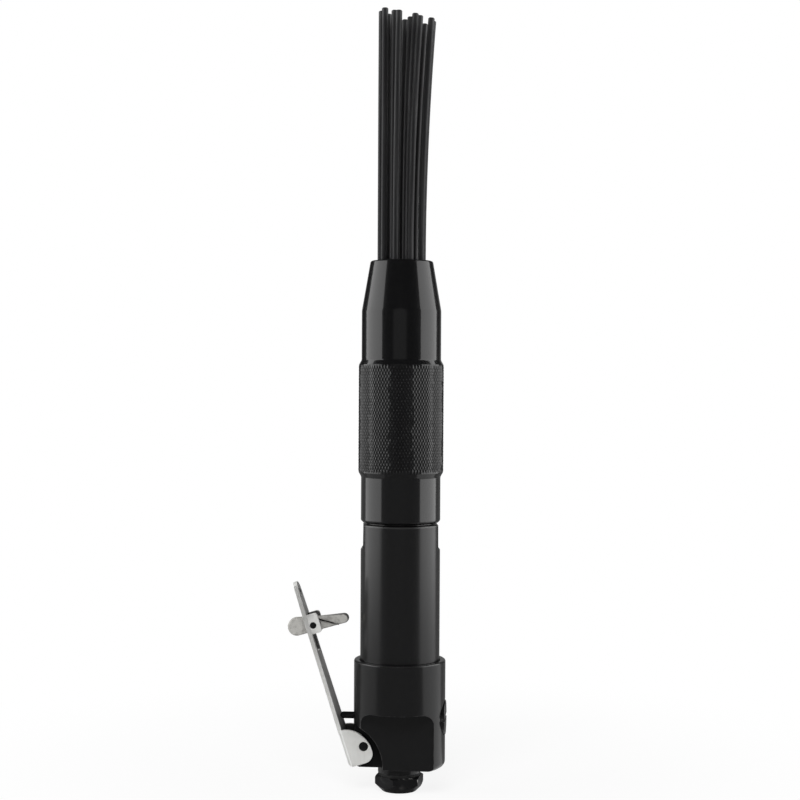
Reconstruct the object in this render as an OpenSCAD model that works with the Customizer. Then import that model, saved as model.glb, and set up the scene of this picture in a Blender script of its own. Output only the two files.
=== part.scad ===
// Air driven needle scaler, standing on its air inlet with the needles up.
// Z runs along the tool, the lever is on the -X side and the valve plug on the +X side.

/* [Inlet] */
// Hexagon of the inlet bushing, across flats
inlet_hex_af = 20.6; // [19:0.1:25]
// Height of the hexagon
inlet_hex_h = 7.3; // [6:0.1:10]
// Tapped bore of the air inlet
inlet_bore_d = 11.44; // [9:0.01:12.4]
// Depth of the tapped bore
inlet_bore_depth = 14; // [10:0.5:17]
// Outside of the bushing's threaded shank
inlet_shank_d = 16; // [15:0.1:16.4]
// Length of the shank inside the housing
inlet_shank_len = 13.5; // [12:0.1:14.5]
// Thickness of the sealing washer on the hexagon
inlet_seal_t = 1.2; // [0.8:0.1:2]
// Thickness of the inlet screen
screen_t = 0.8; // [0.5:0.1:1.5]

/* [Valve housing] */
// Outside diameter of the valve housing
housing_d = 42.9; // [41.6:0.1:52]
// Length of the valve housing without its inlet boss
housing_len = 50; // [49:0.5:62]
// Diameter of the boss round the inlet
boss_d = 20; // [18.5:0.1:24]
// Height of the boss round the inlet
boss_h = 3; // [1:0.1:6]
// Radius of the housing's foot edge
foot_r = 2.8; // [2:0.1:6]
// Radius of the housing's upper rim
rim_r = 0.8; // [0.5:0.1:2.4]
// Distance across the two side flats
flats_w = 25; // [22:0.1:30]
// Width of each side flat before its corners are rounded
flats_span = 34; // [30:0.1:36]
// Height of the side flats above the foot
flats_h = 26.9; // [20:0.1:30]
// Corner radius at the top of the side flats
flats_corner_r = 5.5; // [2:0.1:8]
// Width of the lug between the lever's ears
lug_w = 12.6; // [10:0.1:15]
// Radius of the round recesses beside the lug
recess_r = 20.5; // [19.5:0.1:21]
// Depth of the socket that the barrel screws into
socket_depth = 15.5; // [10:0.1:18]

/* [Throttle valve] */
// Height of the valve axis above the housing's foot
valve_h = 23; // [21:0.1:25]
// Head diameter of the valve plug
plug_d = 16.4; // [14:0.1:18]
// How far the plug stands proud of the housing
plug_proud = 0.3; // [0.2:0.1:2]
// Diameter of the valve stem
stem_d = 3.2; // [2.4:0.1:4]
// Bore of the valve seat
seat_bore_d = 6.4; // [5:0.1:7]
// Diameter of the seal on the valve head
poppet_d = 9.6; // [8.4:0.1:11]
// Wire of the valve spring
valve_spring_wire = 0.9; // [0.6:0.05:1.1]

/* [Lever] */
// Depth of the lever's pivot inside the housing's outside
pivot_in = 5.35; // [4.5:0.05:7]
// Height of the lever's pivot above the housing's foot
pivot_h = 10.1; // [9.6:0.1:12]
// Tilt of the lever away from the tool axis at rest, in degrees
lever_tilt = 18; // [15:0.5:22]
// Reach of the lever from its pivot to its tip
lever_reach = 82; // [80:0.5:110]
// Sheet thickness of the lever
lever_t = 1.9; // [1.5:0.1:2.4]
// Distance from the pivot to the outer face of the lever's web
lever_stand = 9.5; // [9:0.1:10]
// Width of the lever's web at the latch
lever_latch_w = 11; // [10.8:0.1:14]
// Width of the lever's web at its tip
lever_tip_w = 8.5; // [7:0.1:10]
// Radius of the lever ears' crown
ear_crown_r = 12.8; // [12:0.1:13.5]
// Radius of the lever ears' lower corner
ear_corner_r = 4.6; // [3:0.1:5]
// Length of the lever below its pivot
lever_heel = 7.7; // [7.3:0.1:9]
// Diameter of the lever's pivot pin
lever_pin_d = 4.2; // [3:0.1:5]

/* [Lock latch] */
// Distance of the latch pin above the lever's pivot
latch_up = 60.4; // [52:0.1:66]
// Distance of the latch pin from the web's outer face
latch_in = 3.6; // [3.2:0.1:4]
// Diameter of the latch pin
latch_pin_d = 3; // [2:0.1:3.6]
// Thickness of the latch
latch_t = 4; // [3:0.1:4.6]
// Distance from the latch pin to the middle of the finger's round tip
finger_len = 14.2; // [12:0.1:15]
// Radius of the finger's tip
finger_tip_r = 2.2; // [1.5:0.1:2.6]
// Radius of the latch round its pin
latch_root_r = 3.3; // [2.6:0.1:3.6]
// Distance from the latch pin to the middle of the thumb lobe
lobe_out = 8.6; // [7.6:0.1:9]
// Radius of the thumb lobe
lobe_r = 4.3; // [3:0.05:4.6]
// Wire of the latch spring
latch_spring_wire = 0.5; // [0.4:0.05:0.55]

/* [Barrel] */
// Outside diameter of the barrel and of the plain bands of the front housing
barrel_d = 37.2; // [36:0.1:37.6]
// Length of barrel that shows between the housings
barrel_show = 63.5; // [50:0.5:90]
// Distance across the two spanner flats
spanner_af = 34.7; // [33:0.1:36]
// Length of the spanner flats
spanner_len = 10.7; // [8:0.1:16]
// Diameter of the barrel's front spigot
spigot_d = 31.9; // [31:0.1:32.4]
// Length of the barrel's front spigot
spigot_len = 27; // [26:0.5:34]
// Bore that the piston runs in
piston_bore_d = 20; // [16:0.1:21]
// Length of the piston
piston_len = 42; // [30:0.5:46]
// Bore that holds the valve blocks
block_bore_d = 29.2; // [28:0.1:30]

/* [Front housing] */
// Dark seam between the barrel and the front housing
seam = 0.7; // [0.3:0.1:2]
// Length of the plain band behind the knurl
rear_band = 23.5; // [18:0.1:30]
// Diameter over the knurled grip
knurl_d = 39.9; // [38.4:0.1:42]
// Length of the knurled grip
knurl_len = 50.4; // [45:0.1:62]
// Length of the plain band in front of the knurl
front_band = 25; // [20:0.1:32]
// Length of the conical nose
nose_len = 23.4; // [18:0.1:30]
// Outside diameter at the end of the nose
nose_d = 29.2; // [28:0.1:32]
// Bore of the nose that the needles pass
nose_bore_d = 26; // [24.5:0.1:26.6]
// Bore that the needle holder slides in
chamber_d = 29; // [28.6:0.1:30]
// Radius of the nose's rim
nose_rim_r = 1; // [0.4:0.1:1.2]

/* [Anvil and needles] */
// Length of the anvil between its rear face and its front flange's face
anvil_len = 22; // [18:0.5:26]
// Diameter of the anvil's tail
anvil_tail_d = 13; // [10:0.1:15]
// Depth of the needle holder's skirt behind the needle heads
holder_skirt = 12.6; // [12.2:0.1:14]
// Thickness of the needle holder's drilled plate
holder_plate = 14; // [10:0.5:15]
// Diameter of a needle
needle_d = 3; // [2:0.1:3.2]
// Length of a needle with its head
needle_len = 178; // [120:1:230]
// Diameter of a needle's head
head_d = 4.4; // [3.8:0.1:4.6]
// Height of a needle's head
head_h = 2.5; // [1.5:0.1:3]
// Needles in the inner ring
inner_needles = 3; // [3:1:4]
// Needles in the outer ring
outer_needles = 9; // [6:1:12]
// Pitch radius of the inner ring of needles
ring_inner_r = 4.3; // [3.5:0.1:5]
// Pitch radius of the outer ring of needles
ring_outer_r = 10; // [9.8:0.1:10]
// Play in front of the heads of the left needles
float_left = 0.5; // [0.3:0.1:5]
// Play in front of the heads of the middle needles
float_middle = 2.5; // [0.3:0.1:5]
// Play in front of the heads of the right needles
float_right = 4.9; // [0.3:0.1:5]
// Wire of the needle return spring
return_wire = 2.2; // [1.6:0.1:2.2]
// Turns of the needle return spring
return_turns = 5; // [3:1:6]

/* [Clearances] */
// Radial gap of a screwed or pushed fit
fit = 0.05; // [0.02:0.01:0.1]
// Radial gap of the barrel in its socket
socket_gap = 0.1; // [0.05:0.05:0.2]
// Gap between sliding or turning faces
run = 0.3; // [0.2:0.05:0.4]
// Gap between pieces that rest on each other across a joint
rest = 0.2; // [0.1:0.05:0.3]

/* [Hidden] */
$fn = 96;

BLACK = "#202124";
DARK_STEEL = "#3a3b3e";
STEEL = "#9fa1a4";
SILVER = "#c4c4c2";
RUBBER = "#141414";
BRASS = "#b08d3c";

// Length by which a cut runs past the face that it opens
cut = 1;

// Levels along the tool, from the inlet up
z_boss = inlet_hex_h + inlet_seal_t;
z_foot = z_boss + boss_h;
z_shank = z_boss + inlet_shank_len;
z_valve = z_foot + valve_h;
z_rim = z_foot + housing_len;
z_socket = z_rim - socket_depth;
z_shoulder = z_rim + barrel_show;
z_spigot = z_shoulder + spigot_len;
z_front = z_shoulder + seam;
z_knurl = z_front + rear_band;
z_knurl_end = z_knurl + knurl_len;
z_cone = z_knurl_end + front_band;
z_nose = z_cone + nose_len;

// Valve housing
housing_r = housing_d / 2;
recess_out = housing_r + 5.95;
recess_up = 1.5;
rim_chamfer = 0.5;
web_room = 0.6;

// Inlet bushing
hex_turn = 21.1;
hex_r = inlet_hex_af / 2 / cos(30);
hex_foot_r = hex_r - 3.7;
hex_crown_r = hex_r - 1.4;
hex_crown_slope = 0.55;
hex_out_r = hex_r + 0.5;
screen_r = 5.9;
screen_seat = 2.5;
air_way_r = 4.2;
screen_hole_d = 1.5;
screen_pitch = 2.4;

// Throttle valve, measured along X from the tool axis
plug_face_x = housing_r + plug_proud;
plug_head_x = housing_r - 4.05;
plug_end_x = plug_head_x - 6;
plug_shank_r = plug_d / 2 - 0.65;
plug_hole_gap = 0.3;
plug_slot_w = 1.6;
plug_slot_d = 1.5;
plug_groove_x = plug_end_x + 1;
plug_groove_w = 2;
plug_cup_x = plug_head_x + 1;
plug_cup_r = 4.8;
chamber_r = 7;
chamber_x = -1;
seat_t = 3;
seat_x = chamber_x + seat_t;
poppet_t = 2;
stem_flange_t = 2;
stem_flange_x = seat_x + poppet_t;
stem_guide_r = 2.3;
stem_guide_len = 3;
left_chamber_r = 4.2;
left_chamber_len = 8;
inlet_way_x = 4;
inlet_way_r = 3.5;
barrel_way_x = -5;
barrel_way_r = 3;
stem_bore_gap = 0.06;
stem_ring_x = -15;
stem_ring_w = 2;
stem_ring_r = 0.72;
valve_spring_r = 3.6;
valve_spring_turns = 6;

// Lever: its own frame has the pivot at the origin and the web along Z
pivot_out = housing_r - pivot_in;
pivot_z = z_foot + pivot_h;
lever_base_w = lug_w + 2 * run + 2 * lever_t;
web_in = lever_stand - lever_t;
ear_reach = ear_crown_r - lever_stand;
ear_drop = 2.6;
bend_r = 2.2;
strip_start = ear_crown_r - ear_drop - 0.3;
strip_taper_end = latch_up + 5.6;
strip_inset = 0.4;
tip_hole_d = 3.5;
tip_hole_in = 5;
pin_proud = 0.2;

// Lock latch: its own frame has the latch pin at the origin and the finger along X
latch_x = latch_in - lever_stand;
latch_ear_reach = 3.3;
latch_ear_up = 5.4;
latch_ear_down = 4;
latch_ear_corner_r = 1.5;
latch_ear_in = lever_latch_w / 2 - lever_t;
latch_side = latch_ear_in - 0.5 - latch_t / 2;
latch_slot_half = latch_ear_in - 0.2;
latch_slot_down = 12.3;
latch_slot_up = 5.4;
latch_slot_corner_r = 1.5;
finger_turn = -6.3;
lobe_turn = 172;
latch_arc_steps = 16;
latch_coil_r = 2.9;
latch_coil_from = 37;
latch_coil_to = 58 - 720;
latch_coil_steps = 32;
latch_leg_front = 11.3;
latch_leg_back = 5.7;

// Where the lever's web meets the valve stem at rest
stem_dome_r = stem_d / 2;
web_at_stem = -pivot_out - web_in / cos(lever_tilt) - (z_valve - pivot_z) * tan(lever_tilt);
stem_tip_x = web_at_stem + (stem_dome_r + rest) / cos(lever_tilt);

// Barrel
barrel_r = barrel_d / 2;
spigot_r = spigot_d / 2;
bore_r = piston_bore_d / 2;
block_r = block_bore_d / 2;
rear_block_t = 7;
front_block_t = 11;
z_blocks = z_socket + rear_block_t;
z_bore = z_blocks + front_block_t;
air_hole_r = 1.2;
air_ring_r = (bore_r + block_r) / 2;
air_hole_end = z_shoulder - 3;
air_ports = 4;
guide_len = 20;
guide_r = bore_r + 1.6;
z_guide = z_spigot - guide_len;
spanner_turn = 7;
spanner_ramp = 1.2;
ring_wire_r = 0.8;
ring_groove_w = 2.2;
barrel_ring_z = z_rim - 4.5;
front_ring_z = z_front + 14;
disk_r = 6;
disk_t = 0.8;
disk_room_r = disk_r + run;
disk_room_h = 1.6;
disk_rest = 0.05;
feed_hole_r = 1;
feed_ring_r = 4;
feed_holes = 6;
disk_port_r = 2.4;
block_recess_r = 9.5;
block_recess_h = 1.5;
locating_pin_r = 1;
locating_pin_foot = 4.5;
locating_pin_sink = 3;

// Piston, anvil and buffer
piston_gap = 1;
z_piston = z_bore + piston_gap;
piston_nose_r = 6;
piston_nose_len = 4;
piston_groove = 0.5;
buffer_t = 3;
buffer_in_r = anvil_tail_d / 2 + 1.5;
z_buffer = z_spigot + buffer_t;
tail_back = 1;
z_anvil = z_buffer + rest;
z_flange = z_anvil + anvil_len;
anvil_nose_len = 4.5;
z_strike = z_flange + anvil_nose_len;
anvil_rear_r = 12.4;
anvil_rear_t = 3.8;
anvil_waist_r = 8.5;
anvil_flange_t = 7.2;
tail_gap = 0.1;

// Front housing
throat_in = 1.4;
z_throat = z_cone + throat_in;
thread_r = spigot_r + fit;
chamber_bore_r = chamber_d / 2;
nose_bore_r = nose_bore_d / 2;
rear_chamfer = 1.1;
knurl_ramp = 2.1;

// Needle holder, needles and return spring
z_holder = z_flange + rest;
z_seat = z_holder + holder_skirt;
z_plate = z_seat + holder_plate;
holder_r = chamber_bore_r - run;
skirt_r = ring_outer_r + head_d / 2 + run;
needle_hole_r = needle_d / 2 + 0.35;
needle_tip_chamfer = 0.35;
side_band = 3.5;
ring_inner_turn = 71.2;
ring_outer_turn = 14.5;
washer_t = 1.5;
washer_in_r = 12.1;
washer_r = chamber_bore_r - 0.15;
spring_touch = 0.1;
return_spring_r = holder_r - return_wire / 2;
return_steps = 16;

function unit(v) = v / norm(v);

// One ring of points round a wire's path
function wire_ring(path, i, r, sides, axis) =
    let (along = unit(path[min(i + 1, len(path) - 1)] - path[max(i - 1, 0)]),
         a = unit(axis - (axis * along) * along),
         b = cross(along, a))
    [for (k = [0:sides - 1]) path[i] + r * (cos(360 * k / sides) * a + sin(360 * k / sides) * b)];

// Middle line of a helix of a given number of turns between two levels
function coil_path(r, z0, z1, turns, steps) =
    [for (i = [0:turns * steps])
        let (f = i / (turns * steps))
        [r * cos(360 * turns * f), r * sin(360 * turns * f), z0 + (z1 - z0) * f]];

// Least gap of a wire to itself, between points that lie more than half a turn apart
function wire_gap(path, d, apart) =
    min([for (i = [0:len(path) - 1 - apart], j = [i + apart:len(path) - 1]) norm(path[i] - path[j])]) - d;

// Points of an arc
function arc(c, r, a0, a1, steps) =
    [for (i = [0:steps]) let (a = a0 + (a1 - a0) * i / steps) c + r * [cos(a), sin(a)]];

// Points of a disc's edge between two tangents, or the point where the tangents cross
function disc_edge(r, a0, a1, steps) =
    a1 > a0 ? arc([0, 0], r, a0, a1, steps)
            : [r / cos((a0 - a1) / 2) * [cos((a0 + a1) / 2), sin((a0 + a1) / 2)]];

// Round wire along a path whose turns lie square to the axis
module wire(path, d, axis) {
    sides = 6;
    last = len(path) - 1;
    points = [for (i = [0:last]) each wire_ring(path, i, d / 2, sides, axis)];
    skin = [for (i = [0:last - 1], k = [0:sides - 1])
        let (p = i * sides + k, q = i * sides + (k + 1) % sides)
        each [[p, p + sides, q], [q, p + sides, q + sides]]];
    caps = [for (k = [1:sides - 2])
        each [[0, k, k + 1], [last * sides, last * sides + k + 1, last * sides + k]]];
    polyhedron(points, concat(skin, caps));
}

module up(z) {
    translate([0, 0, z]) children();
}

// Round ring between two levels
module ring(r_in, r_out, z0, z1) {
    up(z0) difference() {
        cylinder(r = r_out, h = z1 - z0);
        up(-cut) cylinder(r = r_in, h = z1 - z0 + 2 * cut);
    }
}

// Rubber ring of round section
module o_ring(r, wire_r) {
    rotate_extrude() translate([r, 0]) circle(r = wire_r, $fn = 32);
}

// Round bar along the valve axis
module valve_bar(r, x0, x1) {
    translate([x0, 0, z_valve]) rotate([0, 90, 0]) cylinder(r = r, h = x1 - x0);
}

// Outline in X and Z, given thickness along Y
module side_plate(w) {
    rotate([90, 0, 0]) linear_extrude(height = w, center = true) children();
}

// Rectangle with rounded corners, from its lower left corner
module round_rect(w, h, r) {
    translate([r, 0]) square([w - 2 * r, h]);
    translate([0, r]) square([w, h - 2 * r]);
    for (x = [r, w - r], y = [r, h - r])
        translate([x, y]) circle(r = r);
}

module lever_frame() {
    translate([-pivot_out, 0, pivot_z]) rotate([0, -lever_tilt, 0]) children();
}

module latch_frame() {
    lever_frame() translate([latch_x, 0, latch_up]) children();
}

// Inlet

module inlet_bushing() {
    color(DARK_STEEL) difference() {
        union() {
            intersection() {
                rotate(hex_turn) cylinder(r = hex_r, h = inlet_hex_h, $fn = 6);
                rotate_extrude() polygon([[0, 0], [hex_foot_r, 0], [hex_out_r, hex_out_r - hex_foot_r],
                    [hex_out_r, inlet_hex_h - (hex_out_r - hex_crown_r) * hex_crown_slope],
                    [hex_crown_r, inlet_hex_h], [0, inlet_hex_h]]);
            }
            up(inlet_hex_h - cut) cylinder(d = inlet_shank_d, h = z_shank - inlet_hex_h + cut);
        }
        up(-cut) cylinder(d = inlet_bore_d, h = inlet_bore_depth + cut);
        cylinder(r = air_way_r, h = z_shank + cut);
        up(z_shank - screen_seat) cylinder(r = screen_r + fit, h = screen_seat + cut);
    }
}

module inlet_seal() {
    color(RUBBER) ring(inlet_shank_d / 2 + fit, hex_crown_r - 0.6, inlet_hex_h, z_boss);
}

module inlet_screen() {
    color(BRASS) up(z_shank - screen_seat) difference() {
        cylinder(r = screen_r, h = screen_t);
        for (i = [-2:2], j = [-2:2])
            if (abs(i + j) <= 2 && norm([i + j / 2, j * sin(60)]) * screen_pitch < screen_r - screen_hole_d)
                translate([(i + j / 2) * screen_pitch, j * sin(60) * screen_pitch, -cut])
                    cylinder(d = screen_hole_d, h = screen_t + 2 * cut);
    }
}

// Valve housing

// Half section of the turned blank
module housing_section() {
    translate([0, z_boss]) square([boss_d / 2, boss_h + cut]);
    translate([0, z_foot]) square([housing_r - foot_r, foot_r]);
    translate([0, z_foot + foot_r]) square([housing_r, housing_len - foot_r - rim_r]);
    translate([0, z_rim - rim_r]) square([housing_r - rim_r, rim_r]);
    translate([housing_r - foot_r, z_foot + foot_r]) circle(r = foot_r);
    translate([housing_r - rim_r, z_rim - rim_r]) circle(r = rim_r);
}

// What is cut from one side of the housing: the flat, and the round recess for the lever's ear
module housing_side_cut() {
    translate([0, -(flats_w + housing_d) / 2, 0]) side_plate(housing_d) {
        translate([-flats_span / 2, z_foot - housing_d])
            round_rect(flats_span, flats_h + housing_d, flats_corner_r);
    }
    translate([0, -(lug_w + housing_d) / 2, 0]) side_plate(housing_d) difference() {
        translate([-recess_out, z_foot + recess_up]) circle(r = recess_r);
        translate([-housing_d, z_foot - housing_d]) square([2 * housing_d, housing_d]);
    }
}

module valve_housing() {
    color(BLACK) difference() {
        rotate_extrude() housing_section();
        intersection() {
            union() {
                housing_side_cut();
                mirror([0, 1, 0]) housing_side_cut();
            }
            up(z_foot) cylinder(r = housing_d, h = housing_len);
        }
        lever_frame() translate([-web_in + web_room - housing_d, -housing_d, -housing_d])
            cube([housing_d, 2 * housing_d, housing_d]);
        up(z_socket) cylinder(r = barrel_r + socket_gap, h = socket_depth + cut);
        up(z_rim - rim_chamfer) cylinder(r1 = barrel_r + socket_gap,
            r2 = barrel_r + socket_gap + rim_chamfer, h = rim_chamfer);
        up(z_boss - cut) cylinder(d = inlet_shank_d + 2 * fit, h = inlet_shank_len + cut);
        translate([inlet_way_x, 0, z_shank - cut]) cylinder(r = inlet_way_r, h = z_valve - z_shank + cut);
        translate([barrel_way_x, 0, z_valve]) cylinder(r = barrel_way_r, h = z_socket - z_valve + cut);
        valve_bar(plug_d / 2 + plug_hole_gap, plug_head_x, housing_d);
        valve_bar(plug_shank_r + fit, plug_end_x, plug_head_x + cut);
        valve_bar(chamber_r, chamber_x, plug_end_x + cut);
        valve_bar(left_chamber_r, chamber_x - left_chamber_len, chamber_x + cut);
        valve_bar(stem_dome_r + stem_bore_gap, -housing_d, chamber_x);
        valve_bar(stem_dome_r + 2 * stem_ring_r + fit, stem_ring_x, stem_ring_x + stem_ring_w);
        translate([-pivot_out, 0, pivot_z]) rotate([90, 0, 0])
            cylinder(d = lever_pin_d + fit, h = 2 * housing_d, center = true);
    }
}

// Throttle valve

module valve_plug() {
    color(BLACK) difference() {
        union() {
            valve_bar(plug_d / 2, plug_head_x, plug_face_x);
            valve_bar(plug_shank_r, plug_end_x, plug_head_x + cut);
        }
        valve_bar(plug_cup_r, plug_end_x - cut, plug_cup_x);
        translate([plug_face_x - plug_slot_d, -housing_d / 2, z_valve - plug_slot_w / 2])
            cube([plug_slot_d + cut, housing_d, plug_slot_w]);
        difference() {
            valve_bar(plug_d, plug_groove_x, plug_groove_x + plug_groove_w);
            valve_bar(plug_shank_r - 2 * ring_wire_r, plug_groove_x - cut, plug_groove_x + plug_groove_w + cut);
        }
    }
}

module plug_oring() {
    color(RUBBER) translate([plug_groove_x + plug_groove_w / 2, 0, z_valve]) rotate([0, 90, 0])
        o_ring(plug_shank_r - ring_wire_r, ring_wire_r - fit);
}

valve_spring_from = stem_flange_x + stem_flange_t + valve_spring_wire / 2 + spring_touch;
valve_spring_to = plug_cup_x - valve_spring_wire / 2 - spring_touch;
valve_spring_path = coil_path(valve_spring_r, valve_spring_from, valve_spring_to, valve_spring_turns, 8);
echo(valve_spring_gap = wire_gap(valve_spring_path, valve_spring_wire, 6));

module valve_spring() {
    color(STEEL) up(z_valve) rotate([0, 90, 0]) wire(valve_spring_path, valve_spring_wire, [0, 0, 1]);
}

module throttle_stem() {
    color(DARK_STEEL) {
        valve_bar(stem_dome_r, stem_tip_x, stem_flange_x + cut);
        valve_bar(poppet_d / 2, stem_flange_x, stem_flange_x + stem_flange_t);
        valve_bar(stem_guide_r, stem_flange_x, stem_flange_x + stem_flange_t + stem_guide_len);
        translate([stem_tip_x, 0, z_valve]) sphere(r = stem_dome_r);
    }
}

module poppet_seal() {
    color(RUBBER) difference() {
        valve_bar(poppet_d / 2, seat_x, stem_flange_x);
        valve_bar(stem_dome_r + 0.02, seat_x - cut, stem_flange_x + cut);
    }
}

module valve_seat() {
    color(BRASS) difference() {
        valve_bar(chamber_r - fit, chamber_x, seat_x);
        valve_bar(seat_bore_d / 2, chamber_x - cut, seat_x + cut);
    }
}

module stem_oring() {
    color(RUBBER) translate([stem_ring_x + stem_ring_w / 2, 0, z_valve]) rotate([0, 90, 0])
        o_ring(stem_dome_r + fit + stem_ring_r, stem_ring_r);
}

// Lever and lock latch

// Side outline of an ear, crowned above the pivot and rounded below it
module ear_outline() {
    intersection() {
        translate([-lever_stand, -ear_drop]) circle(r = ear_crown_r);
        translate([-lever_stand, -ear_drop]) square(ear_crown_r);
    }
    translate([-lever_stand, ear_corner_r - lever_heel])
        square([ear_crown_r, lever_heel - ear_corner_r - ear_drop]);
    translate([-lever_stand, -lever_heel]) square([ear_crown_r - ear_corner_r, ear_corner_r]);
    translate([ear_reach - ear_corner_r, ear_corner_r - lever_heel]) circle(r = ear_corner_r);
}

// Section across the folded foot of the lever: a channel with rounded outer edges
module channel_section() {
    difference() {
        translate([-lever_stand, -lever_base_w / 2]) round_rect(3 * ear_crown_r, lever_base_w, bend_r);
        translate([-web_in, lever_t - lever_base_w / 2]) square([4 * ear_crown_r, lever_base_w - 2 * lever_t]);
    }
}

// Face outline of the web, in Y and Z
module strip_outline() {
    tip_r = lever_tip_w / 2;
    latch_half = lever_latch_w / 2;
    base = lever_base_w / 2 - strip_inset;
    polygon([[-base, strip_start], [base, strip_start], [latch_half, strip_taper_end],
             [tip_r, lever_reach - tip_r], [-tip_r, lever_reach - tip_r], [-latch_half, strip_taper_end]]);
    translate([0, lever_reach - tip_r]) circle(r = tip_r);
}

// Outline of the two upright ears that hold the latch pin
module latch_ear_outline() {
    translate([-lever_stand, latch_up - latch_ear_down])
        round_rect(latch_in + latch_ear_reach, latch_ear_down + latch_ear_up, latch_ear_corner_r);
}

module lever() {
    color(SILVER) lever_frame() difference() {
        union() {
            intersection() {
                side_plate(2 * lever_base_w) ear_outline();
                up(-2 * lever_heel) linear_extrude(height = 4 * ear_crown_r) channel_section();
            }
            translate([-lever_stand, 0, 0]) rotate([90, 0, 90])
                linear_extrude(height = lever_t) strip_outline();
            for (s = [-1, 1])
                translate([0, s * (lever_latch_w - lever_t) / 2, 0]) side_plate(lever_t) latch_ear_outline();
        }
        rotate([90, 0, 0]) cylinder(d = lever_pin_d + 2 * fit, h = 2 * lever_base_w, center = true);
        translate([latch_x, 0, latch_up]) rotate([90, 0, 0])
            cylinder(d = latch_pin_d + fit, h = 2 * lever_base_w, center = true);
        translate([-lever_stand - cut, 0, latch_up]) rotate([90, 0, 90])
            linear_extrude(height = lever_t + 2 * cut) translate([-latch_slot_half, -latch_slot_down])
                round_rect(2 * latch_slot_half, latch_slot_down + latch_slot_up, latch_slot_corner_r);
        translate([-lever_stand - cut, 0, lever_reach - tip_hole_in]) rotate([0, 90, 0])
            cylinder(d = tip_hole_d, h = lever_t + 2 * cut);
    }
}

module lever_pin() {
    color(DARK_STEEL) translate([-pivot_out, 0, pivot_z]) rotate([90, 0, 0])
        cylinder(d = lever_pin_d, h = lever_base_w + 2 * pin_proud, center = true);
}

module latch_pin() {
    color(DARK_STEEL) latch_frame() rotate([90, 0, 0])
        cylinder(d = latch_pin_d, h = lever_latch_w + 2 * pin_proud, center = true);
}

// Outline of the latch: finger tip, thumb lobe and the disc round the pin, joined by tangents
module latch_outline() {
    finger_a = acos((latch_root_r - finger_tip_r) / finger_len);
    lobe_a = acos((latch_root_r - lobe_r) / lobe_out);
    finger_at = finger_len * [cos(finger_turn), sin(finger_turn)];
    lobe_at = lobe_out * [cos(lobe_turn), sin(lobe_turn)];
    polygon(concat(
        arc(finger_at, finger_tip_r, finger_turn - finger_a, finger_turn + finger_a, latch_arc_steps),
        disc_edge(latch_root_r, finger_turn + finger_a, lobe_turn - lobe_a, latch_arc_steps),
        arc(lobe_at, lobe_r, lobe_turn - lobe_a, lobe_turn + lobe_a, latch_arc_steps),
        disc_edge(latch_root_r, lobe_turn + lobe_a, finger_turn - finger_a + 360, latch_arc_steps / 4)));
}

module lock_latch() {
    color(SILVER) latch_frame() translate([0, latch_side, 0]) difference() {
        side_plate(latch_t) latch_outline();
        rotate([90, 0, 0]) cylinder(d = latch_pin_d + 2 * fit, h = 2 * latch_t, center = true);
    }
}

// Torsion spring beside the latch: one leg on the web, the coil round the pin, one leg on the finger
latch_coil_y0 = -latch_ear_in + latch_spring_wire / 2 + 0.2;
latch_coil_y1 = latch_side - latch_t / 2 - latch_spring_wire / 2 - 0.2;
latch_coil = [for (i = [0:latch_coil_steps])
    let (f = i / latch_coil_steps, a = latch_coil_from + (latch_coil_to - latch_coil_from) * f)
    [latch_coil_r * cos(a), latch_coil_y0 + (latch_coil_y1 - latch_coil_y0) * f, latch_coil_r * sin(a)]];
latch_leg_0 = latch_coil[0] - latch_leg_back * [sin(latch_coil_from), 0, -cos(latch_coil_from)];
latch_leg_1 = latch_coil[latch_coil_steps] + latch_leg_front * [sin(latch_coil_to), 0, -cos(latch_coil_to)];
latch_spring_path = concat([latch_leg_0], latch_coil, [latch_leg_1]);
echo(latch_spring_gap = wire_gap(latch_spring_path, latch_spring_wire, 10));

module latch_spring() {
    color(DARK_STEEL) latch_frame() wire(latch_spring_path, latch_spring_wire, [0, 1, 0]);
}

// Barrel and its valve

module spanner_flat() {
    side_plate(2 * barrel_d) polygon([[spanner_af / 2, z_shoulder + cut],
        [spanner_af / 2, z_shoulder - spanner_len],
        [spanner_af / 2 + 2 * spanner_ramp, z_shoulder - spanner_len - 2 * spanner_ramp],
        [barrel_d, z_shoulder - spanner_len - 2 * spanner_ramp], [barrel_d, z_shoulder + cut]]);
}

// Ring groove for a rubber ring, cut from outside
module ring_groove(r, z) {
    up(z - ring_groove_w / 2) difference() {
        cylinder(r = 2 * barrel_r, h = ring_groove_w);
        up(-cut) cylinder(r = r, h = ring_groove_w + 2 * cut);
    }
}

// Pattern of holes round the tool axis
module holes_round(count, pitch_r, r, z0, z1, turn = 0) {
    for (i = [0:count - 1])
        rotate(turn + 360 * i / count) translate([pitch_r, 0, z0]) cylinder(r = r, h = z1 - z0);
}

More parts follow.
